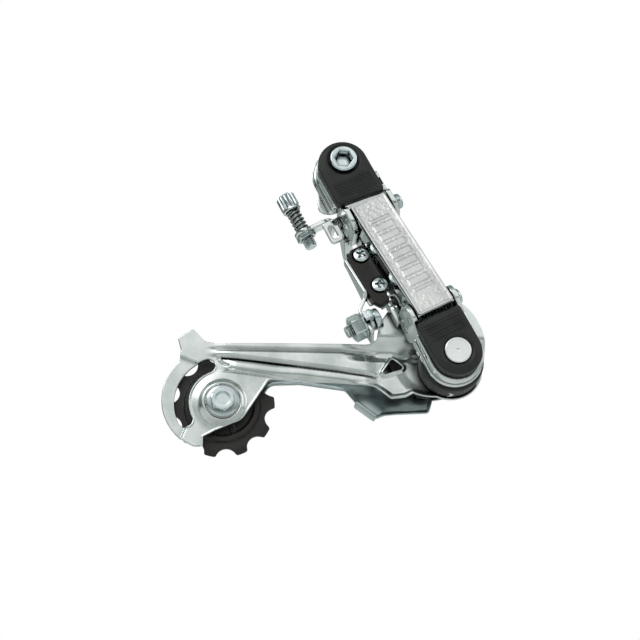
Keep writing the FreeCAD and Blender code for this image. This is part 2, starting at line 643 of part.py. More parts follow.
def anchor_clamp():
    """The washer that holds the cable, with a tab hooked over the edge of the lug."""
    inner = LUG_X + FLANGE_SHEET
    near, far = inner + CLAMP_GAP, inner + CLAMP_SHEET
    low, high = -ANCHOR_DROP - CLAMP_HALF_WIDTH, -ANCHOR_DROP + CLAMP_HALF_WIDTH
    washer = rod_x(CLAMP_RADIUS, near, far, ANCHOR_Y, -ANCHOR_DROP)
    tab = box(LUG_X + 0.1, far, ANCHOR_Y - 7.0, ANCHOR_Y - 5.3, low, high)
    neck = box(near, far, ANCHOR_Y - 6.0, ANCHOR_Y, low, high)
    hole = rod_x(ANCHOR_RADIUS, near - SPARE, far + SPARE, ANCHOR_Y, -ANCHOR_DROP)
    return hang(fuse([washer, neck, tab]).cut(hole), INNER_PIN_Y)


def anchor_nut():
    washer_face = LUG_X - ANCHOR_WASHER_SHEET
    face = washer_face - ANCHOR_NUT_HEIGHT
    nut = hexagon_y(ANCHOR_NUT_FLATS, face, washer_face)
    washer = rod_y(ANCHOR_WASHER_RADIUS, washer_face, LUG_X)
    whole = fuse([nut, washer]).cut(rod_y(ANCHOR_RADIUS, face - SPARE, LUG_X + SPARE))
    whole = swap_xy(whole)
    whole.translate(V(0, ANCHOR_Y, -ANCHOR_DROP))
    return hang(whole, INNER_PIN_Y)


# ---------------------------------------------------------------- lower knuckle

def lower_outline(radius, half_width, top_drop, y0, y1, corner):
    """The outline of the lower knuckle: a straight upper end and a round lower one."""
    disc = rod_y(radius, y0, y1, 0, -PIVOT_SPAN)
    skirt = plate_y([(-half_width, -top_drop, corner), (half_width, -top_drop, corner),
                     (radius, -PIVOT_SPAN, 0), (-radius, -PIVOT_SPAN, 0)], y0, y1)
    return fuse([disc, skirt])


def lower_shells():
    """The lower knuckle's body: two stacked shells with a narrow seam between them."""
    seam_back = LOWER_SEAM + LOWER_SEAM_WIDTH
    radius, drop = LOWER_BODY_RADIUS, LOWER_BODY_TOP_DROP
    front = lower_outline(radius, radius - 0.6, drop, LOWER_CAP_BACK, LOWER_SEAM, 1.0)
    seam = lower_outline(radius - 0.4, radius - 1, drop + 0.3, LOWER_SEAM, seam_back, 1.0)
    back = lower_outline(radius + 0.5, radius, drop, seam_back, LOWER_BACK, 1.0)
    return fuse([front, seam, back])


def lower_bracket():
    """The lower knuckle: its shells, the two ears on the pins, and the stop finger."""
    front, drop = LOWER_CAP_BACK, LOWER_BODY_TOP_DROP
    pins = [(LOWER_OUTER_PIN_Y, -LOWER_PIN_DROP), (LOWER_INNER_PIN_Y, -LOWER_PIN_DROP)]
    top = -LOWER_PIN_DROP + 5.3
    corners = [(front, -drop - 6, 0), (front, -drop, 0),
               (LOWER_OUTER_PIN_Y - 4.8, -LOWER_PIN_DROP - 2, 2.4), (LOWER_OUTER_PIN_Y - 5.0, top, 4.8),
               (LOWER_INNER_PIN_Y + 5.0, top, 4.6),
               (LOWER_INNER_PIN_Y + 5.0, -LOWER_PIN_DROP - 4.6, 3.0),
               (LOWER_BACK, -drop - 1.6, 1.0), (LOWER_BACK, -drop - 6, 0)]
    left = ear(EAR_LEFT_FACE, EAR_LEFT, corners, pins)
    right = ear(EAR_RIGHT, EAR_RIGHT_FACE, corners, pins)
    # The finger that the low limit screw meets when the linkage rests fully outboard
    finger = plate_x([(-5.6, -66.5, 0), (-1.3, -66.5, 0), (-1.3, -57.4, 0.5), (5.2, -56.0, 0.8),
                      (5.2, -50.0, 0.5), (3.5, -50.0, 0.5), (3.5, -55.0, 0.3), (-4.0, -56.0, 1.0),
                      (-5.6, -60.0, 1.0)], EAR_LEFT_FACE - FINGER_SHEET, EAR_LEFT)
    finger = finger.cut(rod_x(PIN_RADIUS, EAR_LEFT_FACE - 2 * FINGER_SHEET, EAR_LEFT + SPARE,
                              LOWER_INNER_PIN_Y, -LOWER_PIN_DROP))
    bore = rod_y(AXLE_RADIUS + RUNNING_FIT, LOWER_CAP_BACK - SPARE, LOWER_BACK + SPARE, 0, -PIVOT_SPAN)
    return lean(fuse([lower_shells(), left, right, finger]).cut(bore))


def lower_cap():
    """The plastic cap over the lower knuckle, open round the cage axle's disc."""
    cap = lower_outline(LOWER_CAP_RADIUS, LOWER_CAP_RADIUS, LOWER_CAP_TOP_DROP, LOWER_FRONT,
                        LOWER_CAP_BACK, LOWER_CAP_CORNER)
    relief = rod_x(LOWER_CAP_RELIEF_RADIUS, -20, 20, LOWER_OUTER_PIN_Y, -LOWER_PIN_DROP)
    mouth = rod_y(AXLE_DISC_RADIUS + RUNNING_FIT, LOWER_FRONT - SPARE, LOWER_CAP_BACK + SPARE,
                  0, -PIVOT_SPAN)
    grooves = []
    for i in range(LOWER_GROOVES):
        drop = LOWER_CAP_TOP_DROP + 1.6 + i * LOWER_GROOVE_PITCH
        grooves.append(rod_x(GROOVE_RADIUS, -12, 12, LOWER_FRONT, -drop))
    return lean(cut(cap, [relief, mouth] + grooves))


def spring_housing():
    """The open drum that holds the cage spring round the axle."""
    wall = rod_y(HOUSING_RADIUS, LOWER_BACK, HOUSING_BACK, PIVOT_X, PIVOT_Z)
    room = rod_y(HOUSING_RADIUS - HOUSING_WALL, LOWER_BACK + HOUSING_FLOOR, HOUSING_BACK + SPARE,
                 PIVOT_X, PIVOT_Z)
    bore = rod_y(AXLE_RADIUS + RUNNING_FIT, LOWER_BACK - SPARE, HOUSING_BACK + SPARE, PIVOT_X, PIVOT_Z)
    return cut(wall, [room, bore])


def cage_spring():
    coil = coil_y(CAGE_SPRING, LOWER_BACK + HOUSING_FLOOR + 0.1, HOUSING_BACK - 0.1)
    coil.translate(V(PIVOT_X, 0, PIVOT_Z))
    return coil


def return_spring():
    """The torsion spring that pushes the linkage outboard, wound on the lower outer pin."""
    coil = coil_y(RETURN_SPRING, -RETURN_SPRING_HALF, RETURN_SPRING_HALF)
    coil = swap_xy(coil)
    coil.translate(V(LINK_SHIFT, LOWER_OUTER_PIN_Y, -LOWER_PIN_DROP))
    return lean(coil)


# ---------------------------------------------------------------- cage

def cage_axle():
    disc = rod_y(AXLE_DISC_RADIUS, LOWER_FRONT - AXLE_DISC_PROUD, LOWER_CAP_BACK, PIVOT_X, PIVOT_Z)
    shank = rod_y(AXLE_RADIUS, LOWER_CAP_BACK, CAGE_BACK, PIVOT_X, PIVOT_Z)
    return fuse([disc, shank])


def outer_cage_outline():
    """The outer plate's parts: the arm, two round ends, the band behind the slot, and the ear."""
    y0, y1 = CAGE_FRONT, CAGE_BACK
    arm = plate_y([(-49.0, -71.3, 1.5), (-30.0, -70.9, 0), (10.6, -70.3, 6.0), (20.5, -63.6, 0),
                   (34.0, -60.0, 0), (34.0, -86.0, 0), (28.0, -88.9, 2.5), (24.2, -91.0, 2.0),
                   (18.6, -91.8, 2.0), (12.5, -87.0, 4.0), (0.0, -86.0, 0), (-27.0, -84.8, 2.0),
                   (-29.6, -89.0, 4.0), (-37.0, -100.8, 6.0), (-47.0, -105.2, 2.0),
                   (-58.5, -101.0, 0), (-58.5, -80.0, 0)], y0, y1)
    disc = rod_y(OUTER_GUIDE_RADIUS, y0, y1, GUIDE_X, GUIDE_Z)
    lobe = rod_y(PIVOT_LOBE_RADIUS, y0, y1, PIVOT_X, PIVOT_Z)
    band = ring_sector(BAND_RADIUS - BAND_WIDTH, BAND_RADIUS, BAND_START, BAND_END, y0, y1, BAND_X, BAND_Z)
    chin = plate_y([(-57.5, -98.0, 0), (-50.0, -100.0, 0), (-46.0, -104.6, 0), (-51.6, -107.8, 0.8),
                    (-56.8, -110.2, 1.0), (-60.2, -105.6, 0)], y0, y1)
    ear_tab = plate_y([(-61.6, -69.2, 0.6), (-56.0, -65.4, 1.0), (-51.4, -70.2, 2.0),
                       (-47.0, -71.2, 0), (-50.0, -77.0, 0), (-61.0, -80.0, 0), (-60.3, -74.0, 0)], y0, y1)
    boss = rod_y(TENSION_BOSS_RADIUS, y0 - TENSION_BOSS, y1, TENSION_X, TENSION_Z)
    return [arm, disc, lobe, band, chin, ear_tab, boss]


def outer_cage_plate():
    """The long outer plate, with the crescent slot at its rear and the window near its pivot."""
    y0, y1 = CAGE_FRONT - SPARE, CAGE_BACK + SPARE
    crescent = ring_sector(SLOT_INNER_RADIUS, SLOT_OUTER_RADIUS, BAND_START, SLOT_END, y0, y1,
                           TENSION_X, TENSION_Z)
    end_x, end_z = polar(TENSION_X, TENSION_Z, (SLOT_INNER_RADIUS + SLOT_OUTER_RADIUS) / 2, BAND_START)
    crescent_end = rod_y((SLOT_OUTER_RADIUS - SLOT_INNER_RADIUS) / 2, y0, y1, end_x, end_z)
    window = plate_y([(14.9, -82.7, 0.7), (19.5, -75.6, 0.8), (23.9, -79.5, 0.8)], y0, y1)
    axle_hole = rod_y(AXLE_RADIUS, y0, y1, PIVOT_X, PIVOT_Z)
    guide_hole = rod_y(PULLEY_BOLT_RADIUS, y0, y1, GUIDE_X, GUIDE_Z)
    tension_hole = rod_y(PULLEY_BOLT_RADIUS, y0 - TENSION_BOSS, y1, TENSION_X, TENSION_Z)
    whole = fuse(outer_cage_outline())
    return cut(whole, [crescent, crescent_end, window, axle_hole, guide_hole, tension_hole])


def inner_cage_plate():
    """The inner plate, with the tab that keeps the chain from climbing off the guide pulley."""
    y0, y1 = CAGE_INNER_FRONT, CAGE_INNER_BACK
    arm = plate_y([(-44.0, -80.0, 0), (-30.0, -74.0, 6.0), (10.0, -72.0, 6.0), (24.0, -60.0, 0),
                   (44.0, -60.0, 0), (44.0, -80.0, 0), (36.6, -86.6, 2.0), (34.4, -94.0, 1.5),
                   (20.8, -94.9, 1.0), (17.4, -95.3, 0), (14.2, -96.6, 0), (6.5, -90.9, 0),
                   (2.3, -85.9, 2.0), (-14.9, -83.8, 0), (-26.3, -84.4, 4.0), (-36.0, -100.0, 6.0),
                   (-44.0, -105.0, 0)], y0, y1)
    disc = rod_y(INNER_GUIDE_RADIUS, y0, y1, GUIDE_X, GUIDE_Z)
    hub = rod_y(INNER_TENSION_RADIUS, y0, y1, TENSION_X, TENSION_Z)
    keeper = plate_y([(6.5, -90.9, 0), (14.2, -96.6, 0), (13.1, -97.7, 0), (5.4, -92.0, 0)],
                     y0 - KEEPER_DEPTH, y1)
    guide_hole = rod_y(PULLEY_BOLT_RADIUS, y0 - SPARE, y1 + SPARE, GUIDE_X, GUIDE_Z)
    tension_hole = rod_y(PULLEY_BOLT_RADIUS, y0 - SPARE, y1 + SPARE, TENSION_X, TENSION_Z)
    return cut(fuse([arm, disc, hub, keeper]), [guide_hole, tension_hole])


# ---------------------------------------------------------------- pulleys

def centred_disc(radius, width, x, z):
    """A disc in the middle plane of the cage."""
    return rod_y(radius, PULLEY_Y - width / 2, PULLEY_Y + width / 2, x, z)


def pulley(x, z, phase):
    """A toothed plastic pulley with a thick hub, a thinner web and thin teeth."""
    disc = centred_disc(PULLEY_TIP_RADIUS, TOOTH_WIDTH, x, z)
    rim = centred_disc(PULLEY_RIM_RADIUS, PULLEY_RIM_WIDTH, x, z)
    recess = centred_disc(PULLEY_WEB_RADIUS, PULLEY_HUB_WIDTH, x, z)
    web = centred_disc(PULLEY_WEB_RADIUS, PULLEY_WEB_WIDTH, x, z)
    hub = centred_disc(PULLEY_HUB_RADIUS, PULLEY_HUB_WIDTH, x, z)
    pockets = []
    for i in range(PULLEY_TEETH):
        pocket_x, pocket_z = polar(x, z, PITCH_RADIUS, phase + (i + 0.5) * 360 / PULLEY_TEETH)
        pockets.append(centred_disc(ROLLER_POCKET_RADIUS, PULLEY_HUB_WIDTH, pocket_x, pocket_z))
    toothed = cut(disc.fuse(rim), pockets).cut(recess)
    bore = centred_disc(PULLEY_BORE_RADIUS, PULLEY_HUB_WIDTH + SPARE, x, z)
    return fuse([toothed, web, hub]).cut(bore)


def pulley_bush(x, z):
    bush = centred_disc(PULLEY_BORE_RADIUS - RUNNING_FIT, PULLEY_BUSH_WIDTH, x, z)
    return bush.cut(centred_disc(PULLEY_BOLT_RADIUS, PULLEY_BUSH_WIDTH + SPARE, x, z))


def dust_caps(x, z):
    """The two thin washers between a pulley's hub and the cage plates."""
    hub_half = PULLEY_HUB_WIDTH / 2 + DUST_CAP_GAP
    caps = []
    for y0, y1 in ((CAGE_BACK, PULLEY_Y - hub_half), (PULLEY_Y + hub_half, CAGE_INNER_FRONT)):
        cap = rod_y(DUST_CAP_RADIUS, y0, y1, x, z)
        caps.append(cap.cut(rod_y(PULLEY_BORE_RADIUS - RUNNING_FIT, y0 - SPARE, y1 + SPARE, x, z)))
    return Part.makeCompound(caps)


def guide_bolt():
    """The guide pulley's bolt: its head is inboard, and it ends flush in the outer plate."""
    shank = rod_y(PULLEY_BOLT_RADIUS, CAGE_FRONT, CAGE_INNER_BACK, GUIDE_X, GUIDE_Z)
    head = hexagon_y(CAGE_BOLT_FLATS, CAGE_INNER_BACK, CAGE_INNER_BACK + GUIDE_HEAD_HEIGHT, GUIDE_X, GUIDE_Z)
    return fuse([shank, head])


def tension_bolt():
    """The tension pulley's bolt, with its flanged hexagon head outboard on the pressed boss."""
    seat = CAGE_FRONT - TENSION_BOSS
    flange_front = seat - TENSION_FLANGE_SHEET
    flange = rod_y(TENSION_FLANGE_RADIUS, flange_front, seat, TENSION_X, TENSION_Z)
    head = hexagon_y(CAGE_BOLT_FLATS, flange_front - TENSION_HEAD_HEIGHT, flange_front, TENSION_X, TENSION_Z)
    shank = rod_y(PULLEY_BOLT_RADIUS, seat, CAGE_INNER_BACK + TENSION_BOLT_PROUD, TENSION_X, TENSION_Z)
    return fuse([flange, head, shank])


def tension_nut():
    back = CAGE_INNER_BACK + TENSION_NUT_HEIGHT
    nut = hexagon_y(CAGE_BOLT_FLATS, CAGE_INNER_BACK, back, TENSION_X, TENSION_Z)
    return nut.cut(rod_y(PULLEY_BOLT_RADIUS, CAGE_INNER_BACK - SPARE, back + SPARE, TENSION_X, TENSION_Z))


# ---------------------------------------------------------------- everything

def linkage_nodes():
    """The mounting bolt, both knuckles, the cable stop and the two links."""
    return {
        "mounting_bolt": mounting_bolt(),
        "mounting_bush": mounting_bush(),
        "stop_plate": stop_plate(),
        "upper_bracket": upper_bracket(),
        "upper_cap": upper_cap(),
        "outer_pin_upper": pivot_pin(OUTER_PIN_Y, UPPER_PIN_DROP, UPPER_PIN_HEAD),
        "inner_pin_upper": pivot_pin(INNER_PIN_Y, UPPER_PIN_DROP, UPPER_PIN_HEAD),
        "cable_stop_bracket": cable_stop_bracket(),
        "cable_stop_rivet": cable_stop_rivet(),
        "barrel_adjuster": barrel_adjuster(),
        "adjuster_spring": adjuster_spring(),
        "adjuster_nut": adjuster_nut(),
        "outer_link": outer_link(),
        "link_label": link_label(),
        "inner_link": inner_link(),
        "limit_screw_block": limit_screw_block(),
        "limit_screw_high": limit_screw(LIMIT_SCREW_DROPS[0], LIMIT_SCREW_TIPS[0]),
        "limit_screw_low": limit_screw(LIMIT_SCREW_DROPS[1], LIMIT_SCREW_TIPS[1]),
        "anchor_bolt": anchor_bolt(),
        "anchor_clamp": anchor_clamp(),
        "anchor_nut": anchor_nut(),
        "lower_bracket": lower_bracket(),
        "lower_cap": lower_cap(),
        "outer_pin_lower": pivot_pin(LOWER_OUTER_PIN_Y, LOWER_PIN_DROP, LOWER_PIN_HEAD),
        "inner_pin_lower": pivot_pin(LOWER_INNER_PIN_Y, LOWER_PIN_DROP, LOWER_PIN_HEAD),
        "return_spring": return_spring(),
        "spring_housing": spring_housing(),
        "cage_spring": cage_spring(),
    }


def cage_nodes():
    """The cage on its axle, with both pulleys and their bearings and bolts."""
    return {
        "cage_axle": cage_axle(),
        "outer_cage_plate": outer_cage_plate(),
        "inner_cage_plate": inner_cage_plate(),
        "guide_pulley": pulley(GUIDE_X, GUIDE_Z, GUIDE_PHASE),
        "tension_pulley": pulley(TENSION_X, TENSION_Z, TENSION_PHASE),
        "guide_bush": pulley_bush(GUIDE_X, GUIDE_Z),
        "tension_bush": pulley_bush(TENSION_X, TENSION_Z),
        "guide_dust_caps": dust_caps(GUIDE_X, GUIDE_Z),
        "tension_dust_caps": dust_caps(TENSION_X, TENSION_Z),
        "guide_bolt": guide_bolt(),
        "tension_bolt": tension_bolt(),
        "tension_nut": tension_nut(),
    }


def build():
    os.makedirs("parts", exist_ok=True)
    for name, shape in {**linkage_nodes(), **cage_nodes()}.items():
        shape.exportStep("parts/" + name + ".step")


build()
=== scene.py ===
import json
import math
import bpy
import bmesh
import numpy as np
from mathutils import Matrix, Vector

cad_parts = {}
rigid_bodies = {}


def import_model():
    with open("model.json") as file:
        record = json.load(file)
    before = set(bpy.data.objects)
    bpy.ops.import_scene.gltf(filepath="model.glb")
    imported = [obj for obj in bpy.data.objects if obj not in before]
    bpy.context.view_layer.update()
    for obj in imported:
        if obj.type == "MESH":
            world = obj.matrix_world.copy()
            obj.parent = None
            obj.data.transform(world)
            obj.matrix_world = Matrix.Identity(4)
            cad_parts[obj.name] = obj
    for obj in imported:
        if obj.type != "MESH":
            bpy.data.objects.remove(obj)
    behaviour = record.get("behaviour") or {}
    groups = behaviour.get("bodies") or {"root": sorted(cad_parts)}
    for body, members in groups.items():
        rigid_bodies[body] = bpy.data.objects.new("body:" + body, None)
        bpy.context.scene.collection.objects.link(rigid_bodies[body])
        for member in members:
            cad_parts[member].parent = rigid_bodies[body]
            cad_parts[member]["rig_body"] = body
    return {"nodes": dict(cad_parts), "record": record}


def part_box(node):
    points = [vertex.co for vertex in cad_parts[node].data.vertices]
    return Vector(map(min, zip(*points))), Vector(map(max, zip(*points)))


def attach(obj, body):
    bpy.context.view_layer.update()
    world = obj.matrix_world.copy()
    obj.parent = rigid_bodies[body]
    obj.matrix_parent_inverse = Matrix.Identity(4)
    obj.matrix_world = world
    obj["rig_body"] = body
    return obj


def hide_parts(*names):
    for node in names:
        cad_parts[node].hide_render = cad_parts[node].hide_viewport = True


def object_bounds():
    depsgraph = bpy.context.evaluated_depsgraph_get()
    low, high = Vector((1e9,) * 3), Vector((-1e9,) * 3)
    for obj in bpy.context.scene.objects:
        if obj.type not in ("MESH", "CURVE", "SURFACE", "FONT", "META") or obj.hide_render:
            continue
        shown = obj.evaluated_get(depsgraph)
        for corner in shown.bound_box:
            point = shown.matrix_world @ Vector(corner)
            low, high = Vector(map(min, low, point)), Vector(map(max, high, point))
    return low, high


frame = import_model()
START_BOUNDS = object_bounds()
RECORD = frame["record"]
NODES = frame["nodes"]
JOINTS = {joint["name"]: joint for joint in RECORD["behaviour"]["joints"]}
MM = 0.001


# ---------------------------------------------------------------- drawing frames

def axes_frame(origin, x_axis, y_axis, z_axis):
    """A matrix from millimetres along three axes to metres in the row frame."""
    columns = [Vector(axis).normalized() * MM for axis in (x_axis, y_axis, z_axis)]
    matrix = Matrix.Identity(4)
    for i, column in enumerate(columns):
        matrix.col[i] = (*column, 0)
    matrix.col[3] = (*Vector(origin), 1)
    return matrix


def joint_place(name):
    return Vector(JOINTS[name]["pos_m"])


def millimetres(node):
    """The two corners of a CAD node's box, in millimetres."""
    low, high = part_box(node)
    return [value / MM for value in low], [value / MM for value in high]


def local_box(node, matrix):
    """The two corners of a CAD node's vertices in a drawing frame, in millimetres."""
    inverse = matrix.inverted()
    points = np.array([inverse @ vertex.co for vertex in NODES[node].data.vertices])
    return points.min(0), points.max(0)


WORLD = Matrix.Scale(MM, 4)
PIN_AXIS = Vector(JOINTS["linkage_swing"]["axis"])
KNUCKLE = axes_frame((0, 0, 0), PIN_AXIS, (0, 1, 0), PIN_AXIS.cross(Vector((0, 1, 0))))


def link_frame(top, bottom):
    up = (top - bottom).normalized()
    return axes_frame(top, PIN_AXIS, up.cross(PIN_AXIS), up)


OUTER_TOP = joint_place("linkage_swing")
OUTER_BOTTOM = joint_place("lower_knuckle_swing")
OUTER_LINK = link_frame(OUTER_TOP, OUTER_BOTTOM)
INNER_TOP = joint_place("inner_link_swing")
INNER_LINK = link_frame(INNER_TOP, INNER_TOP + OUTER_BOTTOM - OUTER_TOP)
LINK_LENGTH = (OUTER_TOP - OUTER_BOTTOM).length / MM
CAGE_PIVOT = joint_place("cage_pivot")
GUIDE_CENTRE = joint_place("guide_pulley_spin")
TENSION_CENTRE = joint_place("tension_pulley_spin")
PIVOT_SPAN = CAGE_PIVOT.length / MM


# ---------------------------------------------------------------- materials

def new_material(name):
    material = bpy.data.materials.new(name)
    material.use_nodes = True
    tree = material.node_tree
    return material, tree, tree.nodes["Principled BSDF"]


def noise_node(tree, scale, detail=4.0, stretch=(1, 1, 1), roughness=0.55):
    """Noise in the piece's own metres, optionally stretched into streaks."""
    where = tree.nodes.new("ShaderNodeTexCoord")
    mapping = tree.nodes.new("ShaderNodeMapping")
    mapping.inputs["Scale"].default_value = stretch
    texture = tree.nodes.new("ShaderNodeTexNoise")
    texture.inputs["Scale"].default_value = scale
    texture.inputs["Detail"].default_value = detail
    texture.inputs["Roughness"].default_value = roughness
    tree.links.new(where.outputs["Object"], mapping.inputs["Vector"])
    tree.links.new(mapping.outputs["Vector"], texture.inputs["Vector"])
    return texture.outputs["Fac"]


def spread(tree, source, low, high, start=0.35, end=0.65):
    """Map a noise value onto a range of numbers."""
    ramp = tree.nodes.new("ShaderNodeMapRange")
    ramp.inputs["From Min"].default_value = start
    ramp.inputs["From Max"].default_value = end
    ramp.inputs["To Min"].default_value = low
    ramp.inputs["To Max"].default_value = high
    tree.links.new(source, ramp.inputs["Value"])
    return ramp.outputs["Result"]


def tint(tree, source, first, second, start=0.35, end=0.65):
    """Blend two colours by a noise value."""
    mix = tree.nodes.new("ShaderNodeMix")
    mix.data_type = "RGBA"
    mix.inputs["A"].default_value = (*first, 1)
    mix.inputs["B"].default_value = (*second, 1)
    tree.links.new(spread(tree, source, 0, 1, start, end), mix.inputs["Factor"])
    return mix.outputs["Result"]


def painted_crevice_shade(tree, colour, floor):
    """Paint shade into a colour: ambient occlusion darkens it in gaps, grooves and recesses where little light
    gets in.
    """
    shade = tree.nodes.new("ShaderNodeAmbientOcclusion")
    shade.inputs["Distance"].default_value = 2.2 * MM
    shade.samples = 6
    multiply = tree.nodes.new("ShaderNodeMix")
    multiply.data_type = "RGBA"
    multiply.blend_type = "MULTIPLY"
    multiply.inputs["Factor"].default_value = 1.0
    level = spread(tree, shade.outputs["AO"], floor, 1.0, 0.30, 0.92)
    tree.links.new(colour, multiply.inputs["A"])
    tree.links.new(level, multiply.inputs["B"])
    return multiply.outputs["Result"]


def bump_chain(tree, shader, layers):
    """Stack bump layers of (height source, strength, distance in millimetres)."""
    normal = None
    for source, strength, distance in layers:
        bump = tree.nodes.new("ShaderNodeBump")
        bump.inputs["Strength"].default_value = strength
        bump.inputs["Distance"].default_value = distance * MM
        tree.links.new(source, bump.inputs["Height"])
        if normal is not None:
            tree.links.new(normal, bump.inputs["Normal"])
        normal = bump.outputs["Normal"]
    tree.links.new(normal, shader.inputs["Normal"])


def metal(name, dark, light, smooth, rough, grain, relief, streak=(1, 1, 1)):
    """Bare or plated metal with drifting colour, painted shade in its crevices, uneven polish and a fine grain.
    """
    material, tree, shader = new_material(name)
    shader.inputs["Metallic"].default_value = 1.0
    broad = noise_node(tree, 90, 3)
    fine = noise_node(tree, grain, 5, streak, 0.65)
    # The base colour carries painted shade: ambient occlusion darkens it in crevices and between parts.
    tree.links.new(painted_crevice_shade(tree, tint(tree, broad, dark, light), 0.05), shader.inputs["Base Color"])
    tree.links.new(spread(tree, fine, smooth, rough), shader.inputs["Roughness"])
    bump_chain(tree, shader, [(broad, 0.05, 0.2), (fine, relief, 0.03)])
    return material


def plastic(name, dark, light, smooth, rough, grain, relief, sheen=0.5):
    """Moulded plastic with a faint spark-eroded skin."""
    material, tree, shader = new_material(name)
    broad = noise_node(tree, 140, 3)
    fine = noise_node(tree, grain, 4, (1, 1, 1), 0.7)
    tree.links.new(tint(tree, broad, dark, light), shader.inputs["Base Color"])
    tree.links.new(spread(tree, fine, smooth, rough), shader.inputs["Roughness"])
    shader.inputs["Specular IOR Level"].default_value = sheen
    bump_chain(tree, shader, [(fine, relief, 0.04)])
    return material


CHROME = metal("chrome", (0.64, 0.68, 0.67), (0.84, 0.87, 0.86), 0.06, 0.15, 2600, 0.10)
STAMPED = metal("stamped_chrome", (0.58, 0.62, 0.61), (0.78, 0.81, 0.80), 0.13, 0.27, 4200, 0.34)
# Painted shade: a darker copy of the plated steel for the inner cage plate, which lies in shadow behind the outer
# plate.
SHADED = metal("inner_plate_painted_shade", (0.40, 0.46, 0.47), (0.52, 0.57, 0.58), 0.15, 0.28, 4200, 0.25)
PLATED = metal("plated_steel", (0.54, 0.62, 0.64), (0.78, 0.83, 0.84), 0.12, 0.24, 3600, 0.16)
TURNED = metal("turned_steel", (0.84, 0.86, 0.86), (0.92, 0.93, 0.93), 0.26, 0.38, 3000, 0.10)
WIRE = metal("spring_wire", (0.26, 0.29, 0.28), (0.42, 0.45, 0.44), 0.18, 0.32, 5200, 0.2, (1, 1, 6))
FOIL = metal("label_foil", (0.58, 0.58, 0.58), (0.74, 0.74, 0.73), 0.34, 0.5, 5200, 0.5)
CAP_BLACK = plastic("cap_plastic", (0.010, 0.010, 0.010), (0.020, 0.021, 0.020), 0.34, 0.52, 7000, 0.35, 0.4)
BLOCK_BLACK = plastic("block_plastic", (0.005, 0.004, 0.003), (0.012, 0.010, 0.008), 0.26, 0.44, 6200, 0.3,
                      0.35)
PULLEY_BLACK = plastic("pulley_plastic", (0.007, 0.006, 0.005), (0.018, 0.015, 0.013), 0.36, 0.56, 5200, 0.4)

MARK_WHITE = plastic("mark_white", (0.70, 0.70, 0.68), (0.82, 0.82, 0.80), 0.4, 0.55, 3000, 0.1)


# ---------------------------------------------------------------- mesh helpers

def finish_piece(name, vertices, faces, matrix, material, node, replace=True, sharp=35):
    """A mesh piece from drawing-frame millimetres. It rides the body of its CAD node."""
    mesh = bpy.data.meshes.new(name)
    mesh.from_pydata([tuple(v) for v in vertices], [], [tuple(f) for f in faces])
    mesh.transform(matrix)
    work = bmesh.new()
    work.from_mesh(mesh)
    bmesh.ops.remove_doubles(work, verts=work.verts, dist=1e-6)
    bmesh.ops.dissolve_degenerate(work, dist=1e-7, edges=work.edges)
    bmesh.ops.recalc_face_normals(work, faces=work.faces)
    work.to_mesh(mesh)
    work.free()
    mesh.shade_smooth()
    mesh.set_sharp_from_angle(angle=math.radians(sharp))
    mesh.materials.append(material)
    piece = bpy.data.objects.new(name, mesh)
    bpy.context.scene.collection.objects.link(piece)
    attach(piece, NODES[node]["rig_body"])
    if replace:
        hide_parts(node)
    return piece


class Shape:
    """Vertices and faces gathered from several closed shells."""

    def __init__(self):
        self.vertices = []
        self.faces = []

    def add(self, vertices, faces, matrix=None):
        start = len(self.vertices)
        for vertex in vertices:
            self.vertices.append(matrix @ Vector(vertex) if matrix else Vector(vertex))
        for face in faces:
            self.faces.append([start + index for index in face])

    def piece(self, name, matrix, material, node, replace=True, sharp=35):
        return finish_piece(name, self.vertices, self.faces, matrix, material, node, replace, sharp)


def lathe(profile, segments=64, closed=False):
    """A turned shell about Z from (radius, height) points; ends on the axis close by themselves."""
    vertices = []
    rings = []
    for radius, height in profile:
        if abs(radius) < 1e-9:
            rings.append([len(vertices)])
            vertices.append((0, 0, height))
            continue
        rings.append(list(range(len(vertices), len(vertices) + segments)))
        for i in range(segments):
            turn = 2 * math.pi * i / segments
            vertices.append((radius * math.cos(turn), radius * math.sin(turn), height))
    faces = []
    pairs = list(zip(rings, rings[1:]))
    if closed:
        pairs.append((rings[-1], rings[0]))
    for low, high in pairs:
        for i in range(segments):
            j = (i + 1) % segments
            if len(low) == 1 and len(high) > 1:
                faces.append((low[0], high[i], high[j]))
            elif len(high) == 1 and len(low) > 1:
                faces.append((low[i], low[j], high[0]))
            elif len(low) > 1:
                faces.append((low[i], low[j], high[j], high[i]))
    return vertices, faces


def rounded(radius, low, high, edge, inner=0.0, steps=4):
    """A lathe profile of a disc or ring from low to high with rounded rims."""
    profile = []
    for i in range(steps + 1):
        turn = math.pi / 2 * i / steps
        profile.append((radius - edge + edge * math.sin(turn), low + edge - edge * math.cos(turn)))
    for i in range(steps + 1):
        turn = math.pi / 2 * i / steps
        profile.append((radius - edge + edge * math.cos(turn), high - edge + edge * math.sin(turn)))
    if inner:
        return [(inner, low)] + profile + [(inner, high)]
    return [(0, low)] + profile + [(0, high)]


def thread(major, minor, low, high, pitch, segments=36, per_pitch=6, end=0.5):
    """A screw thread about Z as one closed shell, with its ends tapering to the minor radius."""
    rows = max(2, round((high - low) / pitch * per_pitch))
    vertices = [(0, 0, low)]
    for row in range(rows + 1):
        height = low + (high - low) * row / rows
        fade = min(1.0, (height - low) / end, (high - height) / end)
        for i in range(segments):
            phase = (height / pitch - i / segments) % 1.0
            depth = 1 - abs(2 * phase - 1)
            radius = minor + (major - minor) * max(0.0, min(1.0, depth * 1.5 - 0.2)) * max(0.0, fade)
            turn = 2 * math.pi * i / segments
            vertices.append((radius * math.cos(turn), radius * math.sin(turn), height))
    vertices.append((0, 0, high))
    faces = []
    for i in range(segments):
        j = (i + 1) % segments
        faces.append((0, 1 + j, 1 + i))
        for row in range(rows):
            a = 1 + row * segments
            b = a + segments
            faces.append((a + i, a + j, b + j, b + i))
        last = 1 + rows * segments
        faces.append((last + i, last + j, len(vertices) - 1))
    return vertices, faces


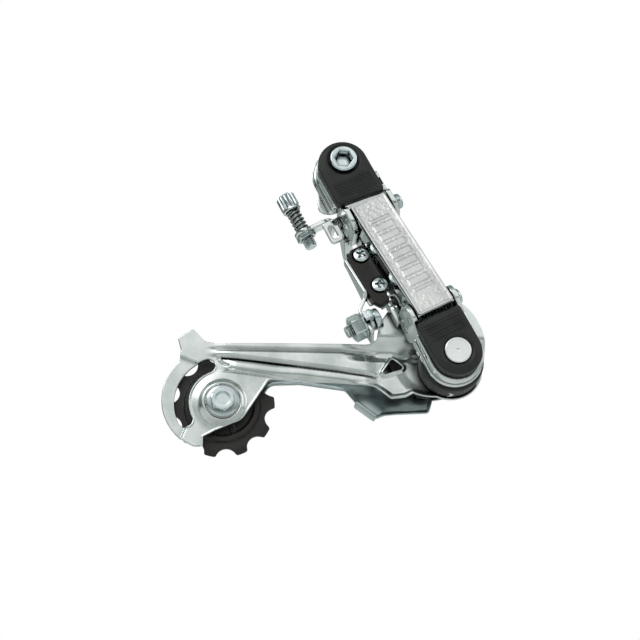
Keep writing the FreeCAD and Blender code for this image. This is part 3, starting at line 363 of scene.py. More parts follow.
def tube(points, radius, sides=10, closed=False, squash=1.0):
    """A round wire along a path, with end caps."""
    points = [Vector(p) for p in points]
    count = len(points)
    vertices = []
    side = None
    for i, point in enumerate(points):
        if closed:
            heading = points[(i + 1) % count] - points[i - 1]
        else:
            heading = points[min(i + 1, count - 1)] - points[max(i - 1, 0)]
        heading.normalize()
        if side is None:
            side = heading.orthogonal().normalized()
        side = (side - heading * side.dot(heading)).normalized()
        other = heading.cross(side)
        for k in range(sides):
            turn = 2 * math.pi * k / sides
            vertices.append(point + side * radius * math.cos(turn) + other * radius * squash * math.sin(turn))
    faces = []
    spans = count if closed else count - 1
    for i in range(spans):
        a = i * sides
        b = (i + 1) % count * sides
        for k in range(sides):
            n = (k + 1) % sides
            faces.append((a + k, a + n, b + n, b + k))
    if not closed:
        faces.append(list(range(sides - 1, -1, -1)))
        faces.append(list(range((count - 1) * sides, count * sides)))
    return vertices, faces


# ---------------------------------------------------------------- outlines as distance fields

def corner_points(corners, step=8):
    """Points along a closed outline of (x, z, radius) corners, with the round stretches as arcs."""
    points = []
    count = len(corners)
    for i in range(count):
        here = np.array(corners[i][:2], float)
        radius = corners[i][2]
        before = np.array(corners[i - 1][:2], float) - here
        after = np.array(corners[(i + 1) % count][:2], float) - here
        before /= np.linalg.norm(before)
        after /= np.linalg.norm(after)
        if radius == 0:
            points.append(here)
            continue
        half = math.acos(max(-1, min(1, float(before @ after)))) / 2
        inward = (before + after) / np.linalg.norm(before + after)
        centre = here + inward * radius / math.sin(half)
        start = here + before * radius / math.tan(half) - centre
        end = here + after * radius / math.tan(half) - centre
        turn = math.atan2(start[0] * end[1] - start[1] * end[0], float(start @ end))
        parts = max(2, math.ceil(abs(math.degrees(turn)) / step))
        for k in range(parts + 1):
            angle = turn * k / parts
            c, s = math.cos(angle), math.sin(angle)
            points.append(centre + np.array([c * start[0] - s * start[1], s * start[0] + c * start[1]]))
    return np.array(points)


def polygon(corners):
    """Signed distance to a rounded outline, negative inside."""
    points = corner_points(corners)
    ends = np.roll(points, -1, axis=0)

    def distance(p):
        best = np.full(len(p), 1e18)
        inside = np.zeros(len(p), bool)
        for a, b in zip(points, ends):
            edge = b - a
            length = float(edge @ edge)
            if length < 1e-12:
                continue
            rel = p - a
            t = np.clip(rel @ edge / length, 0, 1)
            away = rel - t[:, None] * edge
            best = np.minimum(best, (away * away).sum(1))
            crosses = (a[1] > p[:, 1]) != (b[1] > p[:, 1])
            if a[1] != b[1]:
                inside ^= crosses & (p[:, 0] < (p[:, 1] - a[1]) * edge[0] / edge[1] + a[0])
        return np.sqrt(best) * np.where(inside, -1, 1)
    return distance


def circle(x, z, radius):
    return lambda p: np.hypot(p[:, 0] - x, p[:, 1] - z) - radius


def sector(x, z, inner, outer, start, end):
    """A ring sector with round ends, its angles in degrees."""
    middle = math.radians((start + end) / 2)
    half = math.radians((end - start) / 2)
    radius = (inner + outer) / 2
    thick = (outer - inner) / 2

    def distance(p):
        dx, dz = p[:, 0] - x, p[:, 1] - z
        turn = np.arctan2(dz, dx) - middle
        turn = np.abs((turn + np.pi) % (2 * np.pi) - np.pi)
        reach = np.hypot(dx, dz)
        over = np.clip(turn - half, 0, None)
        ends = np.sqrt(np.clip(reach ** 2 + radius ** 2 - 2 * reach * radius * np.cos(over), 0, None))
        return np.where(turn <= half, np.abs(reach - radius), ends) - thick
    return distance


def union(*fields):
    return lambda p: np.min([field(p) for field in fields], axis=0)


def blended(width, *fields):
    """A union whose inner corners are filled with a fillet of about the given width."""
    def distance(p):
        values = fields[0](p)
        for field in fields[1:]:
            other = field(p)
            h = np.clip(width - np.abs(values - other), 0, None) / width
            values = np.minimum(values, other) - h * h * width / 4
        return values
    return distance


def minus(field, *holes):
    return lambda p: np.max([field(p)] + [-hole(p) for hole in holes], axis=0)


def step(value, start, end):
    """A smooth step from 0 to 1."""
    t = np.clip((value - start) / (end - start), 0, 1)
    return t * t * (3 - 2 * t)


def ridge(value, width):
    """1 on a line and falling smoothly to 0 at the given distance from it."""
    t = np.clip(1 - np.abs(value) / width, 0, 1)
    return t * t * (3 - 2 * t)


def segment_distance(p, a, b):
    a, b = np.array(a, float), np.array(b, float)
    edge = b - a
    t = np.clip((p - a) @ edge / (edge @ edge), 0, 1)
    return np.linalg.norm(p - a - t[:, None] * edge, axis=1)


def path_distance(p, points):
    return np.min([segment_distance(p, a, b) for a, b in zip(points, points[1:])], axis=0)


def flat(value):
    return lambda p: np.full(len(p), float(value))


def slab(field, low, high, cell, front, back, edge=0.3, back_edge=None, rounds=4):
    """A closed plate over a distance field: a front and a back height field joined by rounded rims.

    The plate lies in X and Z. Its front is where Y is small. low and high bound the grid.
    """
    back_edge = edge if back_edge is None else back_edge
    cell_x, cell_z = cell if isinstance(cell, tuple) else (cell, cell)
    nx = int(math.ceil((high[0] - low[0]) / cell_x)) + 1
    nz = int(math.ceil((high[1] - low[1]) / cell_z)) + 1
    grid = np.stack(np.meshgrid(low[0] + np.arange(nx) * cell_x, low[1] + np.arange(nz) * cell_z,
                                indexing="ij"), -1).reshape(-1, 2)

    def slope(p):
        e = 0.02
        gx = field(p + [e, 0]) - field(p - [e, 0])
        gz = field(p + [0, e]) - field(p - [0, e])
        g = np.stack([gx, gz], 1)
        return g / np.maximum(np.linalg.norm(g, axis=1), 1e-9)[:, None]

    values = field(grid) + edge
    small = min(cell_x, cell_z)
    near = np.abs(values) < 0.3 * small
    grid[near] -= values[near, None] * slope(grid[near])
    values[near] = 0.0
    points = [tuple(p) for p in grid]
    crossings = {}
    faces = []

    def crossing(a, b):
        key = (min(a, b), max(a, b))
        if key not in crossings:
            t = values[a] / (values[a] - values[b])
            crossings[key] = len(points)
            points.append(tuple(grid[a] + (grid[b] - grid[a]) * t))
        return crossings[key]

    live = (values <= 0).reshape(nx, nz)
    cells = live[:-1, :-1] | live[1:, :-1] | live[1:, 1:] | live[:-1, 1:]
    for i, k in zip(*np.nonzero(cells)):
        corners = [i * nz + k, (i + 1) * nz + k, (i + 1) * nz + k + 1, i * nz + k + 1]
        loop = []
        for a, b in zip(corners, corners[1:] + corners[:1]):
            if values[a] <= 0:
                loop.append(a)
            if values[a] * values[b] < 0:
                loop.append(crossing(a, b))
        if len(loop) > 2:
            faces.append(loop)
    used = sorted({index for face in faces for index in face})
    renumber = {old: new for new, old in enumerate(used)}
    faces = [[renumber[index] for index in face] for face in faces]
    flat_points = np.array([points[index] for index in used])
    edges = {}
    for face in faces:
        for a, b in zip(face, face[1:] + face[:1]):
            edges[(a, b)] = edges.get((a, b), 0) + 1
    border = [(a, b) for a, b in edges if (b, a) not in edges]
    rim = sorted({index for pair in border for index in pair})
    place = {index: n for n, index in enumerate(rim)}
    rim_points = flat_points[rim]
    outward = slope(rim_points)
    count = len(flat_points)
    vertices = [(x, y, z) for (x, z), y in zip(flat_points, front(flat_points))]
    vertices += [(x, y, z) for (x, z), y in zip(flat_points, back(flat_points))]
    faces_out = [face for face in faces] + [[index + count for index in reversed(face)] for face in faces]
    front_rim, back_rim = front(rim_points), back(rim_points)
    rings = [rim]
    levels = []
    for n in range(1, rounds + 1):
        turn = math.pi / 2 * n / rounds
        levels.append((edge * math.sin(turn), front_rim + edge * (1 - math.cos(turn))))
    for n in range(rounds, 0, -1):
        turn = math.pi / 2 * n / rounds
        levels.append((edge * math.sin(turn), back_rim - back_edge * (1 - math.cos(turn))))
    for reach, height in levels:
        rings.append(list(range(len(vertices), len(vertices) + len(rim))))
        moved = rim_points + outward * reach
        vertices += [(x, y, z) for (x, z), y in zip(moved, height)]
    rings.append([index + count for index in rim])
    for upper, lower in zip(rings, rings[1:]):
        for a, b in border:
            faces_out.append([upper[place[b]], upper[place[a]], lower[place[a]], lower[place[b]]])
    return vertices, faces_out


# ---------------------------------------------------------------- cage plates

CAGE = Matrix.Translation(CAGE_PIVOT) @ WORLD


def cage_point(place):
    """A point's x, y and z from the cage pivot, in millimetres."""
    return [value / MM for value in Vector(place) - CAGE_PIVOT]


TENSION_X, _, TENSION_Z = cage_point(TENSION_CENTRE)
GUIDE_X, _, GUIDE_Z = cage_point(GUIDE_CENTRE)
BAND_X = TENSION_X - 2.5
BAND_Z = TENSION_Z + 1.6
# How far the ring round the tension bolt stands out, and the sheet it is pressed from
BOSS_HEIGHT = 1.2
STAMPED_SHEET = 1.2


def outer_plate_outline():
    arm = polygon([(-89.9, 7.6, 1.5), (-70.9, 8.0, 0), (-30.3, 8.6, 6.0), (-20.4, 15.3, 0), (-6.9, 18.9, 0),
                   (-6.9, -7.1, 0), (-12.9, -10.0, 2.5), (-16.7, -12.1, 2.0), (-22.3, -12.9, 2.0),
                   (-28.4, -8.1, 4.0), (-40.9, -7.1, 0), (-67.9, -5.9, 2.0), (-70.5, -10.1, 4.0),
                   (-77.9, -21.9, 6.0), (-87.9, -26.3, 2.0), (-99.4, -22.1, 0), (-99.4, -1.1, 0)])
    chin = polygon([(-98.4, -19.1, 0), (-90.9, -21.1, 0), (-86.9, -25.7, 0), (-92.5, -28.9, 0.8),
                    (-97.7, -31.3, 1.0), (-101.1, -26.7, 0)])
    ear_tab = polygon([(-102.5, 9.7, 0.6), (-96.9, 13.5, 1.0), (-92.3, 8.7, 2.0), (-87.9, 7.7, 0),
                       (-90.9, 1.9, 0), (-101.9, -1.1, 0), (-101.2, 4.9, 0)])
    ring = minus(circle(BAND_X, BAND_Z, 20.2), circle(BAND_X, BAND_Z, 14))
    side = polygon([(-92, 12, 0), (-92, -40, 0), (-110, -40, 0), (-110, 12, 0)])
    band_full = lambda p: np.maximum(ring(p), side(p))
    disc = circle(GUIDE_X, GUIDE_Z, 20.8)
    lobe = circle(0, 0, 12.8)
    whole = union(arm, band_full, chin, ear_tab, disc, lobe)
    slot = sector(TENSION_X, TENSION_Z, 12.6, 17.9, 112, 207)
    window = polygon([(-26.0, -3.8, 0.7), (-21.4, 3.3, 0.8), (-17.0, -0.6, 0.8)])
    return minus(whole, slot, window), slot, window


OUTER_OUTLINE, CRESCENT, WINDOW = outer_plate_outline()
GROOVE = [(-85.6, 1.9), (-71.5, 0.5), (-56.5, -1.1), (-41.4, -2.7), (-27.5, -4.6)]


def outer_plate_front(p):
    """The stamped relief of the outer cage plate; less is further out."""
    face = millimetres("outer_cage_plate")[0][1] + BOSS_HEIGHT
    x, z = p[:, 0], p[:, 1]
    y = np.full(len(p), face)
    along_arm = step(x, -93, -78) * step(-x, 26, 33)
    groove = path_distance(p, GROOVE)
    groove_z = np.interp(x, [q[0] for q in GROOVE], [q[1] for q in GROOVE])
    above = z - groove_z
    fold_z = np.interp(x, [-90, -41, -28], [5.6, 5.7, 5.0])
    # The arm: a rolled top lip, a crowned band, a deep crease and a crowned lower bead
    lip = step(z, fold_z - 0.1, fold_z + 1.0)
    crown = step(above, 0.2, 2.0) * (1 - step(z, fold_z - 1.6, fold_z + 0.2))
    y -= along_arm * (0.9 * crown + 0.75 * lip)
    bead_z = np.interp(x, [-84, -66, -56, -41, -28], [-1.0, -3.0, -3.4, -4.9, -6.4])
    y -= along_arm * 1.05 * np.sqrt(np.clip(1 - ((z - bead_z) / 2.6) ** 2, 0, 1)) * step(x, -88, -80)
    y += 1.1 * ridge(groove, 0.6) * (1 - 0.6 * step(x, -34, -26))
    y += 0.3 * along_arm * ridge(z - fold_z + 0.35, 0.5)
    low_crease = [(-82.7, -2.0), (-69.6, -3.9), (-65.1, -5.0), (-56.5, -5.9), (-41.5, -7.3)]
    y += 0.4 * ridge(path_distance(p, low_crease), 0.55)
    # The hooked start of the crease
    y += 0.45 * ridge(path_distance(p, [(-85.8, 2.3), (-87.0, 1.3), (-85.6, 0.0), (-83.6, -0.9)]), 0.8)
    # The ring pressed round the tension pulley's bolt, in a shallow cone
    reach = np.hypot(x - TENSION_X, z - TENSION_Z)
    y -= 1.2 * (1 - step(reach, 7.0, 9.4))
    y += 0.35 * ridge(reach - 6.3, 0.7)
    y += 0.7 * step(reach, 8.5, 13.0) * step(z - TENSION_Z, -20, 4) * (1 - along_arm) * step(-x, 70, 76)
    # The joggled band behind the crescent slot
    past_ear = (x + 101.6) * -0.372 + (z - 3.1) * -0.928
    past_chin = (x + 98.2) * -0.937 + (z + 25.6) * 0.35
    band = step(past_ear, 0, 0.9) * step(past_chin, 0, 0.9) * step(reach, 14.8, 16.0) * step(-x, 84, 90)
    y += 1.5 * band
    # Pressed-up lips along the hub, the slot and the window
    rim = -OUTER_OUTLINE(p)
    hub_edge = step(-x, 64, 70) * (1 - band) * step(-z, 3.5, 7.0)
    y -= 0.18 * (1 - step(rim, 0.1, 0.9)) * hub_edge
    y -= 0.18 * (1 - step(CRESCENT(p), 0.1, 0.9)) * (1 - band) * step(16.0 - reach, 0, 1)
    y -= 0.7 * (1 - step(WINDOW(p), 0.4, 1.5))
    # The dished end: a shoulder that falls away from the rim of the guide disc to the pivot
    dish = step(x, -42, -31)
    hollow = np.hypot(x + 8.0, z - 1.5)
    y += dish * (1.3 * step(z, 1.0, 4.2) * (1 - step(z, 5.0, 11.5)) - 0.9 * step(z, 7.0, 13.0))
    y -= dish * 1.0 * step(-z, 6.0, 10.0) * (1 - step(rim, 0.3, 2.4))
    y += 0.5 * (1 - step(hollow, 9.0, 14.0))
    return y


def outer_cage_plate():
    start = cage_point(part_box("outer_cage_plate")[0])
    end = cage_point(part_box("outer_cage_plate")[1])
    shift = start[1] - millimetres("outer_cage_plate")[0][1]
    front = lambda p: outer_plate_front(p) + shift
    shape = Shape()
    field = minus(OUTER_OUTLINE, circle(TENSION_X, TENSION_Z, 2.5), circle(GUIDE_X, GUIDE_Z, 2.5),
                  circle(0, 0, 4.05))
    shape.add(*slab(field, (start[0] - 1, start[2] - 1), (end[0] + 1, end[2] + 1), (0.32, 0.18), front,
                    lambda p: front(p) + STAMPED_SHEET, 0.32))
    return shape.piece("outer_cage_plate_stamped", CAGE, STAMPED, "outer_cage_plate", sharp=40)


# ---------------------------------------------------------------- pulleys

def pulley(node, centre, name):
    """A toothed wheel with a thin tooth ring, a raised rim, a recessed web with spokes and a hub."""
    low, high = millimetres(node)
    matrix = Matrix.Translation(centre) @ WORLD
    tip = (high[0] - low[0]) / 2
    teeth = 10
    pitch_radius = 12.7 / 2 / math.sin(math.pi / teeth)
    phase = math.radians(TEETH_PHASE[node])
    pockets = []
    for i in range(teeth):
        turn = phase + 2 * math.pi * (i + 0.5) / teeth
        pockets.append(circle(pitch_radius * math.cos(turn), pitch_radius * math.sin(turn), 4.1))
    toothed = minus(circle(0, 0, tip), *pockets)
    half_hub = (high[1] - low[1]) / 2

    def half_width(p):
        reach = np.hypot(p[:, 0], p[:, 1])
        turn = np.arctan2(p[:, 1], p[:, 0])
        tooth = 1.1 - 0.55 * step(reach, 17.6, 19.6)
        rim = 2.2 * (1 - step(reach, 13.9, 14.8))
        width = np.maximum(tooth, rim)
        spokes = step(np.cos(5 * (turn - phase)), 0.80, 0.93)
        web = 1.1 + 0.7 * spokes
        width = width + (web - width) * step(-reach, -12.2, -11.4)
        hub = half_hub * (1 - step(reach, 6.3, 6.9))
        return np.maximum(width, hub)

    shape = Shape()
    bore = circle(0, 0, 3.55)
    shape.add(*slab(minus(toothed, bore), (-tip - 1, -tip - 1), (tip + 1, tip + 1), 0.4,
                    lambda p: -half_width(p), lambda p: half_width(p), 0.25))
    return shape.piece(name, matrix, PULLEY_BLACK, node, sharp=38)


TEETH_PHASE = {"guide_pulley": 8.0, "tension_pulley": 5.5}


# ---------------------------------------------------------------- knuckle caps

def cap_front(low_y, grooves, region, crown):
    """A cap face with a slightly crowned middle and a field of fine grooves."""
    start, pitch, count = grooves

    def front(p):
        z = p[:, 1]
        inside = -region(p)
        y = low_y + crown * (1 - step(inside, 0, 3.0))
        wave = (z - start) / pitch
        there = step(wave, -count, -count + 0.3) * (1 - step(wave, -0.3, 0.0))
        field = step(inside, 1.5, 2.2)
        return y + 0.34 * there * field * (0.5 + 0.5 * np.cos(2 * np.pi * wave)) ** 1.5
    return front


def upper_cap():
    low, high = local_box("upper_cap", KNUCKLE)
    radius = (high[0] - low[0]) / 2
    x = (high[0] + low[0]) / 2
    z = high[2] - radius
    end = low[2]
    arch = circle(x, z, radius)
    skirt = polygon([(low[0], z, 0), (high[0], z, 0), (high[0], end, 1.2), (low[0], end + 1.4, 1.2)])
    outline = union(arch, skirt)
    well = circle(0, 0, 5.45)
    front = cap_front(low[1], (-7.9, 1.12, 7), outline, 0.35)

    def recessed(p):
        reach = np.hypot(p[:, 0], p[:, 1])
        return front(p) + 0.5 * (1 - step(reach, 6.0, 6.5))

    shape = Shape()
    shape.add(*slab(minus(outline, well), (low[0] - 1, low[2] - 1), (high[0] + 1, high[2] + 1), (0.4, 0.16),
                    recessed, flat(high[1]), 0.55, 0.15))
    return shape.piece("upper_cap_moulded", KNUCKLE, CAP_BLACK, "upper_cap", sharp=50)


# Radius of the room behind the lower cap in which the outer link's end swings
CAP_RELIEF = 7.0


def lower_cap():
    low, high = local_box("lower_cap", KNUCKLE)
    radius = (high[0] - low[0]) / 2
    z = -PIVOT_SPAN
    top = high[2]
    disc = circle(0, z, radius)
    skirt = polygon([(low[0], z, 0), (high[0], z, 0), (high[0], top, 1.4), (low[0], top, 1.4)])
    outline = union(disc, skirt)
    front = cap_front(low[1], (top - 1.5, 1.2, 7), outline, 0.4)

    def recessed(p):
        reach = np.hypot(p[:, 0], p[:, 1] - z)
        return front(p) + 0.35 * (1 - step(reach, 5.6, 6.2))

    def relieved(p):
        """The back, cut away round the outer link's lower end so that the link can swing."""
        beyond = p[:, 1] - LOWER_OUTER[1]
        swept = LOWER_OUTER[0] - np.sqrt(np.clip(CAP_RELIEF ** 2 - beyond ** 2, 0, None))
        return np.maximum(np.minimum(high[1], swept), recessed(p) + 0.2)

    shape = Shape()
    shape.add(*slab(minus(outline, circle(0, z, 5.1)), (low[0] - 1, low[2] - 1), (high[0] + 1, high[2] + 1),
                    (0.4, 0.16), recessed, relieved, 0.6, 0.15))
    return shape.piece("lower_cap_moulded", KNUCKLE, CAP_BLACK, "lower_cap", sharp=50)


# ---------------------------------------------------------------- shared shapes for pieces

def reordered(matrix, place, order):
    """A drawing frame moved to a place, its axes taken from another frame in a new order such as "xzy"."""
    result = Matrix.Identity(4)
    for i, letter in enumerate(order):
        result.col[i] = matrix.col["xyz".index(letter)]
    result.col[3] = matrix @ Vector((*place, 1))
    return result


def hexagon(flats, turn=30.0):
    """Signed distance to a hexagon about the origin."""
    def distance(p):
        values = []
        for i in range(6):
            angle = math.radians(turn + 60 * i)
            values.append(p[:, 0] * math.cos(angle) + p[:, 1] * math.sin(angle) - flats / 2)
        return np.max(values, axis=0)
    return distance


def hex_body(flats, low, high, bore=0.0, turn=30.0, both=False, dish=0.0):
    """A hexagonal head or nut along Y whose low end, or both ends, is chamfered by a cone."""
    field = hexagon(flats, turn)
    if bore:
        field = minus(field, circle(0, 0, bore))

    def cone(p):
        reach = np.hypot(p[:, 0], p[:, 1])
        bevel = np.clip(reach - flats / 2 * 1.01, 0, None) * 0.45
        return bevel + dish * (1 - step(reach, flats * 0.30, flats * 0.36))

    back = (lambda p: high - cone(p)) if both else flat(high)
    return slab(field, (-flats * 0.6, -flats * 0.6), (flats * 0.6, flats * 0.6), 0.28,
                lambda p: low + cone(p), back, 0.12)


def folded(vertices, half_width, radius, face):
    """Fold a flat sheet, drawn in XZ with its outer face at Y 0, into a channel open towards +Y."""
    flat_half = half_width - radius
    arc = radius * math.pi / 2
    result = []
    for x, depth, z in vertices:
        side = 1 if x > 0 else -1
        over = abs(x) - flat_half
        if over <= 0:
            result.append((x, face + depth, z))
        elif over < arc:
            angle = over / radius
            result.append((side * (flat_half + (radius - depth) * math.sin(angle)),
                           face + radius - (radius - depth) * math.cos(angle), z))
        else:
            result.append((side * (half_width - depth), face + radius + over - arc, z))
    return result


def fold_place(half_width, radius, depth):
    """How far across the flat sheet a point lies that ends up this deep in the channel's side wall."""
    return half_width - radius + radius * math.pi / 2 + depth - radius


# ---------------------------------------------------------------- outer link and its label

def outer_link():
    low, high = local_box("outer_link", OUTER_LINK)
    face, half, radius, sheet = low[1], high[0], 1.5, 1.1
    edge = fold_place(half, radius, high[1] - face)
    pin = fold_place(half, radius, -face)
    outline = polygon([(-edge, high[2], 3.0), (edge, high[2], 3.0), (edge, low[2], 3.0),
                       (-edge, low[2], 3.0)])
    waist = [sector(side * (edge + 26), -LINK_LENGTH / 2, 0, 29.2, 0, 360) for side in (-1, 1)]
    holes = [circle(side * pin, z, 2.05) for side in (-1, 1) for z in (0, -LINK_LENGTH)]
    vertices, faces = slab(minus(outline, *waist, *holes), (-edge - 1, low[2] - 1), (edge + 1, high[2] + 1),
                           (0.36, 0.8), flat(0), flat(sheet), 0.28)
    shape = Shape()
    shape.add(folded(vertices, half, radius, face), faces)
    return shape.piece("outer_link_channel", OUTER_LINK, CHROME, "outer_link", sharp=45)


def grain(p, size, seed):
    """Value noise from a formula: the same everywhere, every time."""
    q = p / size
    cell = np.floor(q)
    t = q - cell
    t = t * t * (3 - 2 * t)

    def value(dx, dz):
        n = (cell[:, 0] + dx) * 127.1 + (cell[:, 1] + dz) * 311.7 + seed * 17.3
        return (np.sin(n) * 43758.5453) % 1.0
    top = value(0, 1) * (1 - t[:, 0]) + value(1, 1) * t[:, 0]
    low = value(0, 0) * (1 - t[:, 0]) + value(1, 0) * t[:, 0]
    return low * (1 - t[:, 1]) + top * t[:, 1]


def link_label():
    """The stippled plate. Its raised figures are a row of plain equal bars, not lettering."""
    low, high = local_box("link_label", OUTER_LINK)
    outline = polygon([(low[0], high[2], 0.9), (high[0], high[2], 0.9), (high[0], low[2], 0.9),
                       (low[0], low[2], 0.9)])
    middle = (low[2] + high[2]) / 2

    def front(p):
        x, z = p[:, 0], p[:, 1] - middle
        inside = -outline(p)
        speckle = grain(p, 0.45, 1) * 0.6 + grain(p, 0.9, 2) * 0.4
        row = (z / 4.4 + 0.5) % 1.0 - 0.5
        within = step(17.6 - np.abs(z), 0, 0.4)
        figure = np.maximum(np.abs(row * 4.4) - 1.35, np.abs(x) - 4.0)
        raised = (1 - step(figure, -0.15, 0.25)) * within
        border = (1 - step(inside, 0.7, 1.0))
        ground = 0.20 * speckle * (1 - 0.85 * raised) * (1 - border) + 0.10
        return low[1] + ground - 0.10 * raised - 0.08 * border

    shape = Shape()
    shape.add(*slab(outline, (low[0] - 1, low[2] - 1), (high[0] + 1, high[2] + 1), (0.27, 0.27), front,
                    flat(high[1]), 0.12))
    return shape.piece("link_label_stippled", OUTER_LINK, FOIL, "link_label", sharp=80)


# ---------------------------------------------------------------- knuckle shells

def knuckle_pins():
    """Each pin's place (y, z) in the knuckle frame: upper outer, upper inner, lower outer, lower inner."""
    inverse = KNUCKLE.inverted()
    spacing = INNER_TOP - OUTER_TOP
    places = [OUTER_TOP, INNER_TOP, OUTER_BOTTOM, OUTER_BOTTOM + spacing]
    return [((inverse @ place)[1], (inverse @ place)[2]) for place in places]


UPPER_OUTER, UPPER_INNER, LOWER_OUTER, LOWER_INNER = knuckle_pins()


def ear_plate(shape, corners, holes, x0, x1, edge=0.35):
    """Add a knuckle's side wall, drawn as (y, z, radius) corners, between two places across the knuckle."""
    field = minus(polygon(corners), *[circle(y, z, 2.0) for y, z in holes])
    ys = [corner[0] for corner in corners]
    zs = [corner[1] for corner in corners]
    vertices, faces = slab(field, (min(ys) - 1, min(zs) - 1), (max(ys) + 1, max(zs) + 1), 0.5,
                           flat(x0), flat(x1), edge)
    shape.add([(x, y, z) for y, x, z in vertices], faces)


def arch_field(x, z, radius, end, slant, corner):
    left, right = x - radius, x + radius
    skirt = polygon([(left, z, 0), (right, z, 0), (right, end - slant, corner), (left, end + slant, corner)])
    return union(circle(x, z, radius), skirt)


def upper_bracket():
    """The upper knuckle: a drawn shell with a rolled brim, and two ears that hold the pins."""
    low, high = local_box("upper_bracket", KNUCKLE)
    cap_low, cap_high = local_box("upper_cap", KNUCKLE)
    radius = (cap_high[0] - cap_low[0]) / 2
    x = (cap_high[0] + cap_low[0]) / 2
    z = cap_high[2] - radius
    front = cap_high[1]
    back = millimetres("stop_plate")[0][1] - 0.1
    body = arch_field(x, z, radius + 0.3, -15.3, 0.7, 1.2)
    brim = arch_field(x, z, radius + 1.55, -15.3, 0.7, 1.2)
    bore = circle(0, 0, 6.25)
    shape = Shape()
    box = ((x - radius - 3, -18), (x + radius + 3, cap_high[2] + 3))
    hollow = lambda p: back - 5.4 * step(-body(p), 1.5, 1.9)
    shape.add(*slab(minus(body, bore), *box, 0.45, flat(front), hollow, 0.35))
    curl = lambda p: back - 1.7 + 1.1 * np.clip(1 - (-brim(p)) / 1.3, 0, 1) ** 2
    ring = minus(brim, arch_field(x, z, radius - 0.9, -14.2, 0.7, 0.8))
    shape.add(*slab(ring, *box, 0.4, curl, flat(back), 0.3))
    corners = [(front, -8.0, 0), (back, -8.0, 0), (back, -14.2, 1.2), (UPPER_INNER[0] + 4.8, -15.6, 3.2),
               (UPPER_INNER[0] + 5.2, UPPER_INNER[1] - 5.4, 5.0),
               (UPPER_OUTER[0] - 5.2, UPPER_OUTER[1] - 5.4, 5.0), (UPPER_OUTER[0] - 5.2, -17.8, 2.0),
               (front, -16.6, 0)]
    pins = (UPPER_OUTER, UPPER_INNER)
    right = local_box("outer_link", OUTER_LINK)[1][0] + 0.8 + 0.4
    left = -local_box("outer_link", OUTER_LINK)[1][0] + 0.8 - 0.4
    ear_plate(shape, corners, pins, left - 2.0, left)
    ear_plate(shape, corners, pins, right, right + 2.0)
    # The finger that the high limit screw meets
    finger = [(UPPER_INNER[0] - 1, -19.8, 0), (UPPER_INNER[0] + 4.5, -19.8, 2.0), (high[1], -26.0, 2.0),
              (high[1], low[2], 0.6), (high[1] - 1.6, low[2], 0.6), (high[1] - 1.6, -28.6, 1.5),
              (UPPER_INNER[0], -25.0, 0)]
    ear_plate(shape, finger, (UPPER_INNER,), left - 3.4, left)
    bridge = [(right - 1.6, front), (right + 1.9, front), (right + 1.9, back), (right - 1.6, back)]
    vertices = [(a, b, c) for c in (-14.2, -11.0) for a, b in bridge]
    shape.add(vertices, [(0, 1, 2, 3), (7, 6, 5, 4), (0, 4, 5, 1), (1, 5, 6, 2), (2, 6, 7, 3), (3, 7, 4, 0)])
    return shape.piece("upper_bracket_drawn", KNUCKLE, CHROME, "upper_bracket", sharp=45)


def lower_bracket():
    """The lower knuckle: two stacked shells with a seam between them, and its two ears."""
    cap_high = local_box("lower_cap", KNUCKLE)[1]
    centre = -PIVOT_SPAN
    front = cap_high[1]
    back = local_box("spring_housing", KNUCKLE)[0][1]
    top = cap_high[2] - 2.6

    def outline(radius, half, drop):
        skirt = polygon([(-half, top - drop, 1.0), (half, top - drop, 1.0), (radius, centre, 0),
                         (-radius, centre, 0)])
        return union(circle(0, centre, radius), skirt)

    seam = front + 4.4
    box = ((-12, centre - 12), (12, top + 1))
    hole = circle(0, centre, 4.05)
    shape = Shape()
    shape.add(*slab(minus(outline(10.5, 9.9, 0), hole), *box, 0.45, flat(front), flat(seam), 0.5))
    shape.add(*slab(minus(outline(9.9, 9.3, 0.5), hole), *box, 0.6, flat(seam - 0.6), flat(seam + 1.0), 0.1))
    shape.add(*slab(minus(outline(11.0, 10.5, 0), hole), *box, 0.45, flat(seam + 0.35), flat(back), 0.6, 0.3))
    limit = LOWER_OUTER[1] + 5.3
    corners = [(front, top - 6, 0), (front, top, 0), (LOWER_OUTER[0] - 4.8, LOWER_OUTER[1] - 2, 2.4),
               (LOWER_OUTER[0] - 5.0, limit, 4.8), (LOWER_INNER[0] + 5.0, limit, 4.6),
               (LOWER_INNER[0] + 5.0, LOWER_INNER[1] - 4.6, 3.0), (back, top - 1.6, 1.0), (back, top - 6, 0)]
    right = local_box("outer_link", OUTER_LINK)[1][0] + 0.8 + 0.4
    left = -local_box("outer_link", OUTER_LINK)[1][0] + 0.8 - 0.4
    pins = (LOWER_OUTER, LOWER_INNER)
    ear_plate(shape, corners, pins, left - 2.0, left)
    ear_plate(shape, corners, pins, right, right + 2.0)
    finger = [(-5.6, -66.5, 0), (-1.3, -66.5, 0), (-1.3, -57.4, 0.5), (5.2, -56.0, 0.8), (5.2, -50.0, 0.5),
              (3.5, -50.0, 0.5), (3.5, -55.0, 0.3), (-4.0, -56.0, 1.0), (-5.6, -60.0, 1.0)]
    ear_plate(shape, finger, (LOWER_INNER,), left - 3.4, left, 0.25)
    return shape.piece("lower_bracket_drawn", KNUCKLE, CHROME, "lower_bracket", sharp=45)


